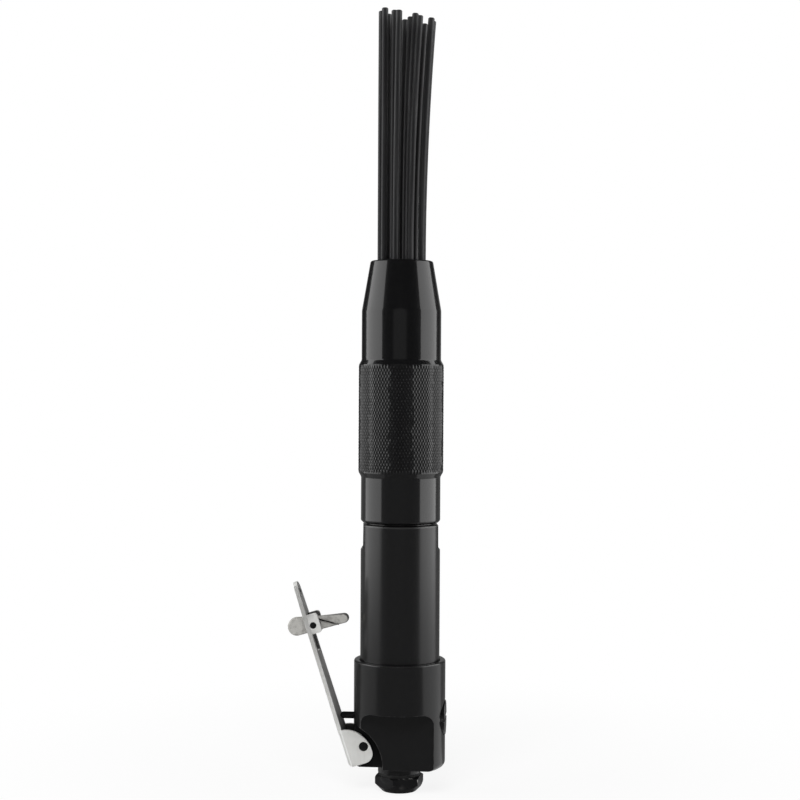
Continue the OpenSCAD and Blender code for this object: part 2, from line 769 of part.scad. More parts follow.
module barrel() {
    lead = 0.6;
    color(BLACK) difference() {
        rotate_extrude() polygon([[0, z_socket], [barrel_r - lead, z_socket], [barrel_r, z_socket + lead],
            [barrel_r, z_shoulder], [spigot_r, z_shoulder], [spigot_r, z_spigot - lead],
            [spigot_r - lead, z_spigot], [0, z_spigot]]);
        up(z_socket - cut) cylinder(r = block_r, h = z_bore - z_socket + cut);
        up(z_socket) cylinder(r = bore_r, h = z_spigot - z_socket);
        up(z_guide) cylinder(r = guide_r, h = guide_len + cut);
        rotate(spanner_turn) spanner_flat();
        rotate(spanner_turn + 180) spanner_flat();
        ring_groove(barrel_r - 2 * ring_wire_r, barrel_ring_z);
        ring_groove(spigot_r - 2 * ring_wire_r, front_ring_z);
        holes_round(air_ports, air_ring_r, air_hole_r, z_bore - cut, air_hole_end);
        for (i = [0:air_ports - 1])
            rotate(360 * i / air_ports) translate([0, 0, air_hole_end - air_hole_r]) rotate([0, 90, 0])
                cylinder(r = air_hole_r, h = air_ring_r);
        holes_round(2, air_ring_r, locating_pin_r + fit, z_bore - cut, z_bore + locating_pin_sink + rest, 45);
    }
}

module barrel_oring() {
    color(RUBBER) up(barrel_ring_z) o_ring(barrel_r - ring_wire_r, ring_wire_r - fit);
}

module front_oring() {
    color(RUBBER) up(front_ring_z) o_ring(spigot_r - ring_wire_r, ring_wire_r - fit);
}

module rear_valve_block() {
    color(STEEL) difference() {
        up(z_socket) cylinder(r = block_r - fit, h = rear_block_t);
        up(z_socket - cut) cylinder(r = block_recess_r, h = block_recess_h + cut);
        holes_round(feed_holes, feed_ring_r, feed_hole_r, z_socket, z_blocks + cut);
        holes_round(air_ports, air_ring_r, air_hole_r, z_socket - cut, z_blocks + cut);
        holes_round(2, air_ring_r, locating_pin_r + fit, z_socket + locating_pin_foot - rest, z_blocks + cut, 45);
    }
}

module disk_valve() {
    color(STEEL) up(z_blocks + disk_rest) cylinder(r = disk_r, h = disk_t);
}

module front_valve_block() {
    color(STEEL) difference() {
        up(z_blocks) cylinder(r = block_r - fit, h = front_block_t);
        up(z_blocks - cut) cylinder(r = disk_room_r, h = disk_room_h + cut);
        up(z_blocks) cylinder(r = disk_port_r, h = front_block_t + cut);
        holes_round(air_ports, air_ring_r, air_hole_r, z_blocks - cut, z_bore + cut);
        holes_round(2, air_ring_r, locating_pin_r + fit, z_blocks - cut, z_bore + cut, 45);
    }
}

module locating_pins() {
    color(STEEL) holes_round(2, air_ring_r, locating_pin_r, z_socket + locating_pin_foot,
        z_bore + locating_pin_sink, 45);
}

module piston() {
    r = bore_r - fit;
    lead = 0.8;
    color(STEEL) up(z_piston) difference() {
        rotate_extrude() polygon([[0, 0], [r - lead, 0], [r, lead], [r, piston_len - piston_nose_len - lead],
            [r - lead, piston_len - piston_nose_len], [piston_nose_r, piston_len - piston_nose_len],
            [piston_nose_r, piston_len - lead], [piston_nose_r - lead, piston_len], [0, piston_len]]);
        for (f = [1, 2])
            up(piston_len * f / 3) difference() {
                cylinder(r = 2 * r, h = 2 * piston_groove);
                up(-cut) cylinder(r = r - piston_groove, h = 2 * piston_groove + 2 * cut);
            }
    }
}

module anvil_guide() {
    color(BRASS) ring(anvil_tail_d / 2 + tail_gap, guide_r - fit, z_guide, z_spigot);
}

module anvil() {
    tail_r = anvil_tail_d / 2;
    flange_r = chamber_bore_r - 2 * run;
    nose_r = skirt_r - run;
    lead = 0.8;
    waist_0 = z_anvil + anvil_rear_t;
    waist_1 = z_flange - anvil_flange_t;
    color(STEEL) rotate_extrude() polygon([[0, z_guide - tail_back], [tail_r - lead, z_guide - tail_back],
        [tail_r, z_guide - tail_back + lead], [tail_r, z_anvil], [anvil_rear_r, z_anvil], [anvil_rear_r, waist_0],
        [anvil_waist_r, waist_0 + anvil_rear_r - anvil_waist_r], [anvil_waist_r, waist_1 - lead],
        [flange_r, waist_1 + lead], [flange_r, z_flange], [nose_r, z_flange], [nose_r, z_strike - lead],
        [nose_r - lead, z_strike], [0, z_strike]]);
}

module buffer_ring() {
    color(RUBBER) ring(buffer_in_r, thread_r - 2 * fit, z_spigot, z_buffer);
}

// Front housing

module front_housing() {
    knurl_r = knurl_d / 2;
    nose_r = nose_d / 2;
    slope = atan((barrel_r - nose_r) / nose_len);
    rim_x = nose_r + nose_rim_r * tan(slope) - nose_rim_r / cos(slope);
    rim_z = z_nose - nose_rim_r;
    color(BLACK) rotate_extrude() {
        polygon([[thread_r, z_front], [barrel_r - rear_chamfer, z_front], [barrel_r, z_front + rear_chamfer],
            [barrel_r, z_knurl - knurl_ramp], [knurl_r, z_knurl], [knurl_r, z_knurl_end],
            [barrel_r, z_knurl_end + knurl_ramp], [barrel_r, z_cone],
            [rim_x + nose_rim_r * cos(slope), rim_z + nose_rim_r * sin(slope)], [rim_x, z_nose],
            [nose_bore_r, z_nose], [nose_bore_r, z_throat], [chamber_bore_r, z_throat],
            [chamber_bore_r, z_buffer], [thread_r, z_buffer]]);
        intersection() {
            translate([rim_x, rim_z]) circle(r = nose_rim_r);
            translate([rim_x, rim_z]) square(nose_rim_r);
        }
    }
}

// Needles

// Places round one ring of needles
function needle_ring(r, count, turn) =
    [for (k = [0:count - 1]) let (a = turn + 360 * k / count) r * [cos(a), sin(a)]];

needle_places = concat(needle_ring(ring_inner_r, inner_needles, ring_inner_turn),
                       needle_ring(ring_outer_r, outer_needles, ring_outer_turn));

module needle_holder() {
    lead = 0.6;
    color(STEEL) difference() {
        rotate_extrude() polygon([[0, z_holder], [holder_r, z_holder], [holder_r, z_plate - lead],
            [holder_r - lead, z_plate], [0, z_plate]]);
        up(z_holder - cut) cylinder(r = skirt_r, h = holder_skirt + cut);
        for (p = needle_places)
            translate([p[0], p[1], z_seat - cut]) cylinder(r = needle_hole_r, h = holder_plate + 2 * cut);
    }
}

// One headed needle with its shoulder at the origin
module needle() {
    r = needle_d / 2;
    tip = needle_len - head_h;
    up(-head_h) cylinder(d = head_d, h = head_h);
    cylinder(r = r, h = tip - needle_tip_chamfer, $fn = 32);
    up(tip - needle_tip_chamfer)
        cylinder(r1 = r, r2 = r - needle_tip_chamfer, h = needle_tip_chamfer, $fn = 32);
}

// The needles whose places lie between two values of X
module needle_group(x0, x1, float) {
    color(DARK_STEEL) for (p = needle_places)
        if (p[0] > x0 && p[0] < x1)
            translate([p[0], p[1], z_seat - float]) needle();
}

module needles_left() {
    needle_group(-chamber_d, -side_band, float_left);
}

module needles_middle() {
    needle_group(-side_band, side_band, float_middle);
}

module needles_right() {
    needle_group(side_band, chamber_d, float_right);
}

return_spring_path = coil_path(return_spring_r, z_plate + return_wire / 2 + spring_touch,
    z_throat - washer_t - return_wire / 2 - spring_touch, return_turns, return_steps);
echo(return_spring_gap = wire_gap(return_spring_path, return_wire, 12));

module return_spring() {
    color(STEEL) wire(return_spring_path, return_wire, [0, 0, 1]);
}

module spring_washer() {
    color(STEEL) ring(washer_in_r, washer_r, z_throat - washer_t, z_throat);
}

valve_housing();
inlet_bushing();
inlet_seal();
inlet_screen();
valve_plug();
plug_oring();
valve_spring();
throttle_stem();
poppet_seal();
valve_seat();
stem_oring();
lever();
lever_pin();
lock_latch();
latch_pin();
latch_spring();
barrel();
barrel_oring();
rear_valve_block();
disk_valve();
front_valve_block();
locating_pins();
piston();
anvil_guide();
anvil();
buffer_ring();
front_housing();
front_oring();
needle_holder();
needles_left();
needles_middle();
needles_right();
return_spring();
spring_washer();
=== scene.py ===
"""Air driven needle scaler: the looks of its pieces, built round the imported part's frame.

Sizes are in millimetres in the part's frame. Those of the studio are in metres.
"""

import logging
import math
from dataclasses import dataclass
from enum import Enum
from typing import Callable, Mapping, Sequence

import bmesh
import bpy
import numpy as np
from mathutils import Matrix, Vector


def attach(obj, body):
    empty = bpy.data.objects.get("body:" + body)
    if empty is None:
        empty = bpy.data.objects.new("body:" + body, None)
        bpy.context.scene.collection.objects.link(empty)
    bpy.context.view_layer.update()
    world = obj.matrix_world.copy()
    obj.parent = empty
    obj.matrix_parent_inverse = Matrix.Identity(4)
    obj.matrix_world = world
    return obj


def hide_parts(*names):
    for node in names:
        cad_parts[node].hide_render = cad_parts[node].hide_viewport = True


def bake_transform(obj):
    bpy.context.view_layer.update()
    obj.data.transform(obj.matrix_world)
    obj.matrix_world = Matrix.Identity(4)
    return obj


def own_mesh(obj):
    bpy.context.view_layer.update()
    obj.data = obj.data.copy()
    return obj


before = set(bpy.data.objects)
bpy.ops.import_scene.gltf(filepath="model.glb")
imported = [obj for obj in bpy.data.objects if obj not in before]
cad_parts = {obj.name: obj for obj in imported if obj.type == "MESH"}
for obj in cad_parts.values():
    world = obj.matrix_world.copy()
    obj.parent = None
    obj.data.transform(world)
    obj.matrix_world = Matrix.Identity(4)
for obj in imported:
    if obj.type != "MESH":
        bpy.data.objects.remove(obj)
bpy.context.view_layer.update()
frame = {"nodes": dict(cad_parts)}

LOG = logging.getLogger("needle_scaler")
# Metres in a millimetre.
MM = 0.001
# How far cutters that meet run into each other.
LAP = 0.1
# Half the width of a cutter that goes right through the lever.
WIDE = 20.0

Color = tuple[float, float, float, float]
Point2 = tuple[float, float]
Point3 = tuple[float, float, float]


class Axis(Enum):
    """The axis that a turned piece is turned about, or a plate's thickness runs along."""

    X = "X"
    Y = "Y"
    Z = "Z"

    def point(self, u: float, v: float, level: float) -> Point3:
        """The point at a level along the axis, and at u and v along the other two."""
        return {Axis.X: (level, u, v), Axis.Y: (u, level, v), Axis.Z: (u, v, level)}[self]


class Join(Enum):
    """How one form is combined with another."""

    ADD = "UNION"
    CUT = "DIFFERENCE"
    KEEP = "INTERSECT"


class Value:
    """A shader socket that can stand in a Python expression."""

    def __init__(self, graph: "Graph", socket: bpy.types.NodeSocket | None) -> None:
        """Wraps one output socket of a graph."""
        self.graph = graph
        self.socket = socket

    def _math(self, operation: str, other: "Value | float", swapped: bool = False) -> "Value":
        """Adds a Math node.

        Args:
            operation: Name of the Math node's operation.
            other: The second operand.
            swapped: True if the operand comes first.

        Returns:
            The node's result.
        """
        first, second = (other, self) if swapped else (self, other)
        return self.graph.node("ShaderNodeMath", {"operation": operation}, {0: first, 1: second})

    def __add__(self, other: "Value | float") -> "Value":
        """Sum."""
        return self._math("ADD", other)

    def __radd__(self, other: float) -> "Value":
        """Sum with a number in front."""
        return self._math("ADD", other, True)

    def __sub__(self, other: "Value | float") -> "Value":
        """Difference."""
        return self._math("SUBTRACT", other)

    def __rsub__(self, other: float) -> "Value":
        """Difference from a number."""
        return self._math("SUBTRACT", other, True)

    def __mul__(self, other: "Value | float") -> "Value":
        """Product."""
        return self._math("MULTIPLY", other)

    def __rmul__(self, other: float) -> "Value":
        """Product with a number in front."""
        return self._math("MULTIPLY", other, True)

    def __truediv__(self, other: "Value | float") -> "Value":
        """Quotient."""
        return self._math("DIVIDE", other)

    def __rtruediv__(self, other: float) -> "Value":
        """Quotient with a number in front."""
        return self._math("DIVIDE", other, True)

    def larger(self, other: "Value | float") -> "Value":
        """The larger of two values."""
        return self._math("MAXIMUM", other)

    def step(self, low: float, high: float) -> "Value":
        """A smooth step from 0 at low to 1 at high."""
        return self.graph.node("ShaderNodeMapRange", {"interpolation_type": "SMOOTHSTEP"},
                               {"Value": self, "From Min": low, "From Max": high})


class Graph:
    """The node tree of one material or of the world."""

    def __init__(self, tree: bpy.types.NodeTree) -> None:
        """Starts from an empty tree."""
        self.tree = tree
        tree.nodes.clear()

    def node(self, kind: str, settings: Mapping[str, object] | None = None,
             values: Mapping[str | int, object] | None = None, output: str | int = 0) -> Value:
        """Adds one node.

        Args:
            kind: The node's type.
            settings: Its properties, which are set first.
            values: Numbers, colours or links for its input sockets, by name or place.
            output: The output socket that is wanted.

        Returns:
            That output, or an empty value if the node has none.
        """
        made = self.tree.nodes.new(kind)
        for key, setting in (settings or {}).items():
            setattr(made, key, setting)
        for key, value in (values or {}).items():
            if isinstance(value, Value):
                self.tree.links.new(value.socket, made.inputs[key])
            else:
                made.inputs[key].default_value = value
        return Value(self, made.outputs[output] if len(made.outputs) else None)

    def place(self, stretch: Point3 = (1, 1, 1)) -> Value:
        """Where a point lies on its piece.

        Args:
            stretch: Factors along X, Y and Z.

        Returns:
            The stretched place, in metres.
        """
        at = self.node("ShaderNodeTexCoord", output="Object")
        if stretch == (1, 1, 1):
            return at
        return self.node("ShaderNodeVectorMath", {"operation": "MULTIPLY"}, {0: at, 1: stretch})

    def noise(self, at: Value, scale: float, detail: float = 3.0) -> Value:
        """Cloudy noise about 0.5.

        Args:
            at: The place to read it at.
            scale: How many clouds fit in a metre.
            detail: How many finer layers it has.

        Returns:
            The noise's value.
        """
        return self.node("ShaderNodeTexNoise", {}, {"Vector": at, "Scale": scale, "Detail": detail})

    def stored(self, name: str) -> Value:
        """What a mesh stores at a point, such as how sharp its edge or how dull its finish is."""
        return self.node("ShaderNodeAttribute", {"attribute_name": name}, output="Fac")

    def ray(self, kind: str) -> Value:
        """1 for rays of one kind, such as Camera, and 0 for others."""
        return self.node("ShaderNodeLightPath", output=f"Is {kind} Ray")

    def mix(self, share: Value, first: Color | Value, second: Color | Value) -> Value:
        """Blends two colours.

        Args:
            share: How much of the second colour shows.
            first: The colour at 0.
            second: The colour at 1.

        Returns:
            The blended colour.
        """
        return self.node("ShaderNodeMix", {"data_type": "RGBA"}, {0: share, 6: first, 7: second}, 2)

    def bump(self, height: Value, strength: float, depth: float) -> Value:
        """A normal that follows a height.

        Args:
            height: The height, from 0 to 1.
            strength: How much of it shows.
            depth: The height's full depth in metres.

        Returns:
            The normal.
        """
        return self.node("ShaderNodeBump", {}, {"Height": height, "Strength": strength, "Distance": depth})


Sockets = dict[str, "Value | float | Color"]


@dataclass(frozen=True)
class Finish:
    """A surface that is written as shader nodes.

    Attributes:
        name: The material's name.
        slot: The name of the slot that it belongs to; it is not used.
        color: Its plain colour.
        worn: Its colour where it is rubbed or aged, which on black lacquer also colours painted
            highlights.
        roughness: Its plain roughness.
    """

    name: str
    slot: str
    color: Color
    worn: Color
    roughness: float

    def sockets(self, graph: Graph) -> Sockets:
        """What goes into the surface shader's sockets."""
        raise NotImplementedError

    def material(self) -> bpy.types.Material:
        """Makes the material, once for each finish.

        Returns:
            The material.
        """
        known = bpy.data.materials.get(self.name)
        if known:
            return known
        made = bpy.data.materials.new(self.name)
        made.use_nodes = True
        graph = Graph(made.node_tree)
        shader = graph.node("ShaderNodeBsdfPrincipled", {}, self.sockets(graph))
        graph.node("ShaderNodeOutputMaterial", {}, {"Surface": shader})
        return made


@dataclass(frozen=True)
class BlackCoat(Finish):
    """Black lacquer on turned steel, rubbed grey at its edges and off the knurl's peaks, with a painted
    highlight of bare metal on some round edges.

    Attributes:
        gloss: Roughness of the lacquer's surface.
    """

    gloss: float = 0.1

    def sockets(self, graph: Graph) -> Sockets:
        """Black with faint turning marks, cloudy gloss, rubbed edges and a painted highlight of bare metal
        on some round edges.

        Args:
            graph: The material's nodes.

        Returns:
            What goes into the surface shader's sockets.
        """
        at = graph.place()
        cloud = graph.noise(at, 55)
        peel = graph.noise(at, 2600, 2)
        turned = graph.noise(graph.place((40, 40, 5200)), 1, 2)
        wear_and_highlight = graph.stored("edge").step(0.25, 0.9) * graph.noise(at, 420, 4).step(0.4, 0.62)
        # Below 0 the stored value gives bare metal: worn on the knurl's peaks, and a painted highlight on
        # the rim and the shoulder.
        dull, bare_and_highlight = graph.stored("dull").step(0.3, 0.8), graph.stored("dull").step(-0.05, -0.9)
        return {
            "Base Color": graph.mix((wear_and_highlight * 0.45).larger(bare_and_highlight * 0.6), self.color, self.worn),
            "Metallic": bare_and_highlight * 0.9,
            "Roughness": self.roughness + (cloud - 0.5) * 0.12 + wear_and_highlight * 0.1 + dull * 0.25,
            "Normal": graph.bump(peel * 0.6 + turned * 0.4, 0.04, 0.0002),
            "Specular IOR Level": 0.15,
            "Coat Weight": 0.9 - wear_and_highlight * 0.4 - dull * 0.75,
            "Coat Roughness": self.gloss,
        }


class OxideSteel(Finish):
    """Black oxide on steel, with bright nicks on its corners."""

    def sockets(self, graph: Graph) -> Sockets:
        """Dark steel, patchy, with bare metal where the corners are knocked.

        Args:
            graph: The material's nodes.

        Returns:
            What goes into the surface shader's sockets.
        """
        at = graph.place()
        patch = graph.noise(at, 260, 4)
        nick = graph.stored("edge").step(0.3, 0.95) * graph.noise(at, 330, 3).step(0.5, 0.64)
        bare_and_highlight = (nick * 0.8).larger(patch.step(0.55, 0.9) * 0.16)
        return {
            "Base Color": graph.mix(bare_and_highlight, self.color, self.worn),
            "Roughness": self.roughness + (patch - 0.5) * 0.2,
            "Metallic": 0.75,
            "Normal": graph.bump(graph.noise(at, 1800, 3), 0.08, 0.0003),
        }


class NeedleWire(Finish):
    """Dark drawn wire, streaked along its length and bright at the tips."""

    def sockets(self, graph: Graph) -> Sockets:
        """Long streaks of dark and lighter steel, and tips that work has polished.

        Args:
            graph: The material's nodes.

        Returns:
            What goes into the surface shader's sockets.
        """
        streak = graph.noise(graph.place((900, 900, 14)), 1, 4)
        speck = graph.noise(graph.place(), 900, 4)
        tip = graph.stored("tip")
        bright = (streak.step(0.42, 0.78) * 0.5).larger(tip.step(0.3, 1.0) * 0.5)
        return {
            "Base Color": graph.mix(bright, self.color, self.worn),
            "Roughness": self.roughness + (speck - 0.5) * 0.2 - tip * 0.12,
            "Metallic": 0.6,
            "Normal": graph.bump(streak, 0.1, 0.0002),
        }


class PlatedSheet(Finish):
    """Zinc plating on pressed sheet, a little cloudy, with rolling streaks."""

    # The colour of the painted shade on the inner faces.
    PAINTED_SHADE = (0.02, 0.02, 0.02, 1)
    # The colour of the painted highlight along the bends.
    PAINTED_HIGHLIGHT = (0.97, 0.97, 0.96, 1)

    def sockets(self, graph: Graph) -> Sockets:
        """Pale metal with streaks along the lever, clouds of tarnish, painted shade on its inner faces,
        darker towards the foot, side faces darker towards the tip, and a painted highlight along the
        bends.

        Args:
            graph: The material's nodes.

        Returns:
            What goes into the surface shader's sockets.
        """
        at = graph.place()
        level = graph.node("ShaderNodeSeparateXYZ", {}, {0: at}, "Z")
        # Painted shade where the stored value is above 0, darker towards the foot; it also darkens the
        # strip's side faces towards the tip.
        painted_shade = graph.stored("dull").larger(0.0) * (1 - level.step(0.024, 0.043) * 0.68)
        # Painted highlight where the stored value is below 0: a line along each bend of the foot.
        bright = graph.stored("dull").step(-0.1, -0.9)
        streak = graph.noise(graph.place((1100, 1100, 60)), 1, 3)
        cloud = graph.noise(at, 95, 4)
        scuff = graph.noise(graph.place((300, 300, 1500)), 1, 2).step(0.66, 0.76)
        dull = cloud.step(0.4, 0.75) * 0.55 + (1 - graph.stored("edge")) * streak.step(0.5, 0.8) * 0.3
        clean = graph.mix(bright, graph.mix(dull, self.color, self.worn), self.PAINTED_HIGHLIGHT)
        coarse = (cloud - 0.5) * 0.25 + scuff * 0.12 + painted_shade * 0.2 - bright * 0.15
        return {
            "Base Color": graph.mix(painted_shade * 0.97, clean, self.PAINTED_SHADE),
            "Roughness": self.roughness + coarse,
            "Metallic": 0.2,
            "Normal": graph.bump(streak * 0.6 + scuff * 0.4, 0.08, 0.0002),
        }


class SandCasting(Finish):
    """A pale casting with the fine grain of its mould."""

    # The colour of the painted shade on the latch's edges that face along the finger and up.
    EDGE_SHADE = (0.04, 0.04, 0.04, 1)

    def sockets(self, graph: Graph) -> Sockets:
        """Grainy pale metal, darker in cloudy patches, with painted shade on the edges that face along the
        finger and up.

        Args:
            graph: The material's nodes.

        Returns:
            What goes into the surface shader's sockets.
        """
        at = graph.place()
        grain = graph.noise(at, 2200, 4)
        patch = graph.noise(at, 330, 4)
        dark = patch.step(0.5, 0.72) * 0.6 + grain.step(0.52, 0.7) * 0.35
        # Painted shade on the faces that look along the finger and up.
        rim = graph.stored("dull").step(0.1, 0.75) * 0.9
        return {
            "Base Color": graph.mix(rim, graph.mix(dark, self.color, self.worn), self.EDGE_SHADE),
            "Roughness": self.roughness + (grain - 0.5) * 0.25,
            "Metallic": 0.4,
            "Normal": graph.bump(grain * 0.7 + patch * 0.3, 0.35, 0.0005),
        }


class TurnedMetal(Finish):
    """Bare machined metal with fine tool marks."""

    def sockets(self, graph: Graph) -> Sockets:
        """Metal with tool marks and a thin film of oil.

        Args:
            graph: The material's nodes.

        Returns:
            What goes into the surface shader's sockets.
        """
        marks = graph.noise(graph.place((60, 60, 6500)), 1, 3)
        film = graph.noise(graph.place(), 120, 3)
        return {
            "Base Color": graph.mix(film.step(0.4, 0.75), self.color, self.worn),
            "Roughness": self.roughness + (marks - 0.5) * 0.25,
            "Metallic": 1.0,
            "Normal": graph.bump(marks, 0.1, 0.0002),
        }


class SealRubber(Finish):
    """Matte black rubber with a dusty bloom."""

    def sockets(self, graph: Graph) -> Sockets:
        """Black rubber, greyer where it has bloomed.

        Args:
            graph: The material's nodes.

        Returns:
            What goes into the surface shader's sockets.
        """
        at = graph.place()
        bloom = graph.noise(at, 300, 4)
        return {
            "Base Color": graph.mix(bloom.step(0.45, 0.8), self.color, self.worn),
            "Roughness": self.roughness + (bloom - 0.5) * 0.15,
            "Normal": graph.bump(graph.noise(at, 2400, 2), 0.15, 0.0003),
        }


BLACK: Color = (0.005, 0.005, 0.0053, 1)
# Grey of rubbed edges, and of the painted highlights on round edges.
RUBBED_AND_HIGHLIGHT: Color = (0.12, 0.12, 0.12, 1)
GLOSS = BlackCoat("gloss black", "black_finish", (0.004, 0.004, 0.0043, 1), RUBBED_AND_HIGHLIGHT, 0.3, 0.08)
SEMI = BlackCoat("semi-gloss black", "black_finish", BLACK, RUBBED_AND_HIGHLIGHT, 0.34, 0.16)
SATIN = BlackCoat("satin black", "black_finish", BLACK, RUBBED_AND_HIGHLIGHT, 0.38, 0.22)
OXIDE = OxideSteel("black oxide", "dark_steel", (0.022, 0.022, 0.023, 1), (0.5, 0.49, 0.47, 1), 0.42)
WIRE = NeedleWire("needle wire", "needle_steel", (0.024, 0.024, 0.025, 1), (0.085, 0.085, 0.086, 1), 0.5)
SHEET = PlatedSheet("plated sheet", "plated_sheet", (0.74, 0.74, 0.72, 1), (0.56, 0.555, 0.53, 1), 0.42)
CASTING = SandCasting("sand casting", "latch_casting", (0.62, 0.61, 0.58, 1), (0.3, 0.29, 0.27, 1), 0.58)
STEEL = TurnedMetal("turned steel", "steel", (0.5, 0.5, 0.5, 1), (0.36, 0.35, 0.33, 1), 0.36)
BRASS = TurnedMetal("turned brass", "brass", (0.62, 0.44, 0.17, 1), (0.4, 0.27, 0.1, 1), 0.34)
RUBBER = SealRubber("seal rubber", "rubber", (0.012, 0.012, 0.012, 1), (0.035, 0.034, 0.033, 1), 0.7)


def linked(name: str, data: bpy.types.ID) -> bpy.types.Object:
    """Puts data in the scene.

    Args:
        name: The new object's name.
        data: Its mesh, light or camera.

    Returns:
        The object.
    """
    made = bpy.data.objects.new(name, data)
    bpy.context.scene.collection.objects.link(made)
    return made


def arc(middle: Point2, radius: float, start: float, end: float, steps: int = 8) -> list[Point2]:
    """Points of an arc.

    Args:
        middle: The arc's centre.
        radius: Its radius.
        start: Its first angle in degrees.
        end: Its last angle in degrees.
        steps: How many chords it has.

    Returns:
        The points from start to end.
    """
    angles = [math.radians(start + (end - start) * i / steps) for i in range(steps + 1)]
    return [(middle[0] + radius * math.cos(a), middle[1] + radius * math.sin(a)) for a in angles]


def round_rect(low: Point2, high: Point2, radius: float) -> list[Point2]:
    """Outline of a rectangle with rounded corners, from its low corner to its high one."""
    (x0, y0), (x1, y1), r = low, high, radius
    return [*arc((x1 - r, y0 + r), r, -90, 0), *arc((x1 - r, y1 - r), r, 0, 90),
            *arc((x0 + r, y1 - r), r, 90, 180), *arc((x0 + r, y0 + r), r, 180, 270)]


def softened(profile: Sequence[Point2], radius: float, steps: int = 3) -> list[Point2]:
    """Rounds the inner corners of a profile.

    Args:
        profile: The profile's points; its first and last stay as they are.
        radius: How far from a corner its rounding starts.
        steps: How many chords a rounding has.

    Returns:
        The profile with a short curve at each corner.
    """
    spots = [np.array(p, float) for p in profile]
    made = [tuple(spots[0])]
    for before, corner, after in zip(spots, spots[1:], spots[2:]):
        back, ahead = before - corner, after - corner
        reach = min(radius, 0.45 * np.linalg.norm(back), 0.45 * np.linalg.norm(ahead))
        start = corner + back / np.linalg.norm(back) * reach
        end = corner + ahead / np.linalg.norm(ahead) * reach
        made.extend(tuple((1 - t) ** 2 * start + 2 * t * (1 - t) * corner + t ** 2 * end)
                    for t in np.linspace(0, 1, steps + 1))
    return [*made, tuple(spots[-1])]


